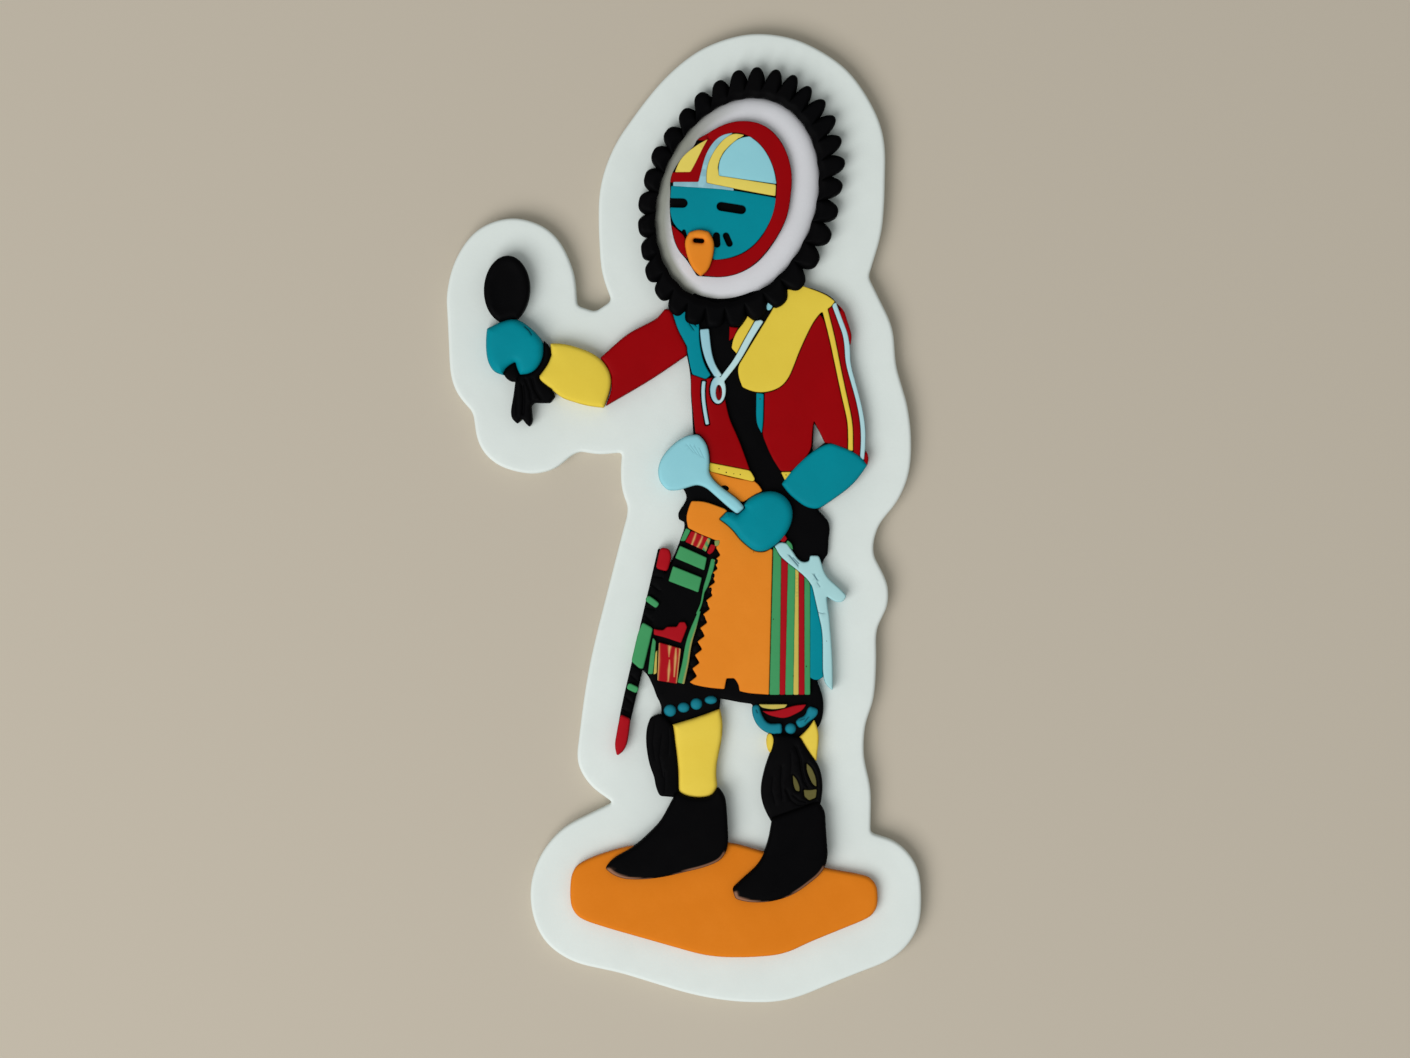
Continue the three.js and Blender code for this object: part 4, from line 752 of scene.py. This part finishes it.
small_pour("knee_beads_joined", [band(JOINED_BEADS)], BEAD_TOP, ground_top, bead_pvc, "teal_pvc",
           corner=0.3, edge=0.35, fall=0.35, crown=0.15,
           scores=[([(12.1, -20.35), (12.45, -19.9)], 0.1, 0.06),
                   ([(11.6, -20.2), (12.05, -20.05)], 0.1, 0.05)])
repour("knee_cord", bead_pvc, "teal_pvc", corner=0.45, low=on_black_or_white, edge=0.3, crown=0.08,
       scores=[([(7.25, -19.2), (7.35, -19.45)], 0.12, 0.06)])
repour("knee_lining", sash_red_pvc, "sash_red_pvc", fit=0.02)
LINING = [(7.46, -18.62), (10.35, -18.62), (10.1, -18.96), (8.87, -19.16), (7.8, -18.96)]
small_pour("knee_lining_yellow", [LINING], COLOUR_TOP, ground_top, dull_yellow_pvc, "yellow_pvc")

# Legs and boots
# Yellow legs in black boots, with a long black fringe beside each. The boots stand out most and are
# round at the edge, with a painted brown reflection along the lower edge. Strands run down the
# fringes, and the yellow leg shows through the gaps of the right one, darkened by painted shade.
leg_pvc = pvc("leg_pvc", (232, 204, 78), (226, 196, 68), rim=(196, 160, 48), rim_width=0.25)
# Yellow darkened to stand for the leg in shade behind the fringe: painted shade.
painted_shade_yellow_pvc = pvc("painted_shade_yellow_pvc", (112, 106, 60), (74, 70, 36))
GAPS = [widened(np.array(gap), 0.1) for gap in (
    [(12.3, -24.6), (12.35, -25.2), (12.6, -25.87), (12.93, -26.55), (13.18, -26.75), (13.12, -26.03),
     (12.7, -25.03)],
    [(10.9, -25.75), (11.02, -26.62), (11.23, -27.17), (11.47, -27.22), (11.47, -26.87), (11.18, -26.12)],
    [(12.07, -27.25), (12.13, -27.8), (12.52, -28.12), (13.1, -27.87), (13.18, -27.2), (12.52, -27.3)],
)]
LEFT_STRANDS = [
    ([(-2.9, -20.6), (-3.1, -22.4), (-2.9, -24.0)], 0.14, 0.05),
    ([(-2.2, -21.8), (-2.45, -23.8), (-2.05, -25.9)], 0.12, 0.06),
    ([(-1.5, -21.0), (-1.45, -22.5), (-1.55, -23.6)], 0.12, 0.04),
    ([(-1.9, -25.4), (-1.85, -26.6), (-1.95, -27.5)], 0.12, 0.05),
]
RIGHT_STRANDS = [
    ([(11.2, -22.9), (11.6, -24.0), (11.75, -25.2), (12.0, -26.3), (12.5, -27.0)], 0.2, 0.2),
    ([(10.7, -23.5), (10.75, -24.7), (10.6, -26.1)], 0.14, 0.06),
    ([(9.8, -24.9), (9.7, -26.4), (9.85, -28.0)], 0.16, 0.12),
    ([(8.9, -26.0), (8.8, -27.2), (9.1, -28.4)], 0.14, 0.07),
    ([(10.2, -27.2), (10.6, -28.1), (11.3, -28.6), (12.3, -28.75), (13.2, -28.3)], 0.16, 0.14),
    ([(10.9, -27.7), (11.5, -28.2), (12.2, -28.4)], 0.12, 0.1),
]


def painted_edge_reflection(boot, toe, heel):
    """Tone of a boot: a painted brown reflection along its lower edge, from the depth inside the
    outline, where a dark line stays. It is widest under the toe, narrow under the heel and nothing
    between them."""
    def shade(x, y):
        depth = distance(np.stack([x, y], 1), [boot])
        share = (x - toe[0]) / (heel[0] - toe[0])
        low_side = np.clip(toe[1] + (heel[1] - toe[1]) * share - y, 0, 0.2) / 0.2
        width = 0.5 * np.clip(1.1 - share / 0.4, 0, 1) + 0.28 * np.clip((share - 0.5) / 0.2, 0, 1)
        return low_side * np.clip(depth / 0.1, 0, 1) * np.clip(2 - 2 * depth / np.maximum(width, 0.01), 0, 1)
    return shade


repour("leg_left", leg_pvc, "yellow_pvc", low=on_black_or_white, edge=0.5, fall=0.4, crown=0.15, wave=0.02)
repour("leg_right_outer", leg_pvc, "yellow_pvc", fit=0.08, low=on_black_or_white, edge=0.2)
small_pour("leg_right_inner", [oval(8.63, -22.5, 0.4, 0.98, 4)], COLOUR_TOP, backing_top - 0.05, leg_pvc,
           "yellow_pvc")
FRINGE_TOP = levels("leg_left")[1]
for node, strands, gaps, toe, heel in (
    ("boot_left", LEFT_STRANDS, [], (-7.9, -34.9), (4.4, -33.2)),
    ("boot_right", RIGHT_STRANDS, GAPS, (4.8, -37.3), (14.3, -34.6)),
):
    low, high = levels(node)
    boot, fringe = outlines_of(node, fit=0.05, corner=0.3, parts=2)[:2]
    holes = [rounded(gap, 0.1)[::-1] for gap in gaps]
    piece = poured(f"{node}_pour", [boot], high, low, black_pvc, "black_pvc", edge=0.45, crown=0.1,
                   tone=painted_edge_reflection(boot, toe, heel))
    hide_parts(node)
    hanging = poured(f"{node}_fringe", [fringe] + holes, FRINGE_TOP, on_black_or_white, plain_black_pvc,
                     "black_pvc", edge=0.3, crown=0.12, scores=strands)
    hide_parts(node)
# The yellow leg seen through the fringe gaps, in painted shade.
small_pour("leg_right_behind_fringe", GAPS, FRINGE_TOP - 0.2, backing_top, painted_shade_yellow_pvc, "yellow_pvc")

# Base
# The ground under the boots: one broad flat pour of deep orange PVC with a round edge. It lies on the
# white backing, and both boots stand on it.
deep_orange_pvc = pvc("deep_orange_pvc", (220, 124, 28), (213, 117, 20), rim=(196, 104, 24))
repour("ground_oval", deep_orange_pvc, "deep_orange_pvc", fit=0, corner=0.5, edge=0.4, crown=0.05, wave=0.03,
       mesh_size=0.6)

# Floor, light and camera
# A plain pale floor under the object, a soft sky and one wide lamp from the lower left. The camera
# looks straight down, as in the photo.
floor_mesh = bpy.data.meshes.new("floor")
floor_mesh.from_pydata([(-3, -3, 0), (3, -3, 0), (3, 3, 0), (-3, 3, 0)], [], [(0, 1, 2, 3)])
floor = bpy.data.objects.new("floor", floor_mesh)
bpy.context.scene.collection.objects.link(floor)
floor_paint = bpy.data.materials.new("floor_paint")
floor_paint.use_nodes = True
floor_shader = floor_paint.node_tree.nodes["Principled BSDF"]
floor_shader.inputs["Base Color"].default_value = linear((192, 182, 166))
floor_shader.inputs["Roughness"].default_value = 0.85
floor_shader.inputs["Specular IOR Level"].default_value = 0.2
floor_mesh.materials.append(floor_paint)

world = bpy.data.worlds.new("sky")
world.use_nodes = True
world.node_tree.nodes["Background"].inputs["Color"].default_value = (0.97, 1.0, 0.99, 1.0)
world.node_tree.nodes["Background"].inputs["Strength"].default_value = 0.4
bpy.context.scene.world = world

lamp_data = bpy.data.lights.new("lamp", "AREA")
lamp_data.shape = "SQUARE"
lamp_data.size = 0.55
lamp_data.energy = 4.7
lamp = bpy.data.objects.new("lamp", lamp_data)
lamp.location = (-0.33, -0.36, 0.6)
lamp.rotation_euler = lamp.location.to_track_quat("Z", "Y").to_euler()
bpy.context.scene.collection.objects.link(lamp)

PHOTO_WIDTH = 0.141
PHOTO_CENTRE = (0.0021, -0.0011)
CAMERA_HEIGHT = 0.45
SHARP_LEVEL = 0.0032  # the level at which the photo was measured
camera_data = bpy.data.cameras.new("camera")
camera_data.lens = camera_data.sensor_width * CAMERA_HEIGHT / PHOTO_WIDTH
camera = bpy.data.objects.new("camera", camera_data)
camera.location = (*PHOTO_CENTRE, CAMERA_HEIGHT + SHARP_LEVEL)
bpy.context.scene.collection.objects.link(camera)
bpy.context.scene.camera = camera
bpy.context.scene.view_settings.view_transform = "Standard"
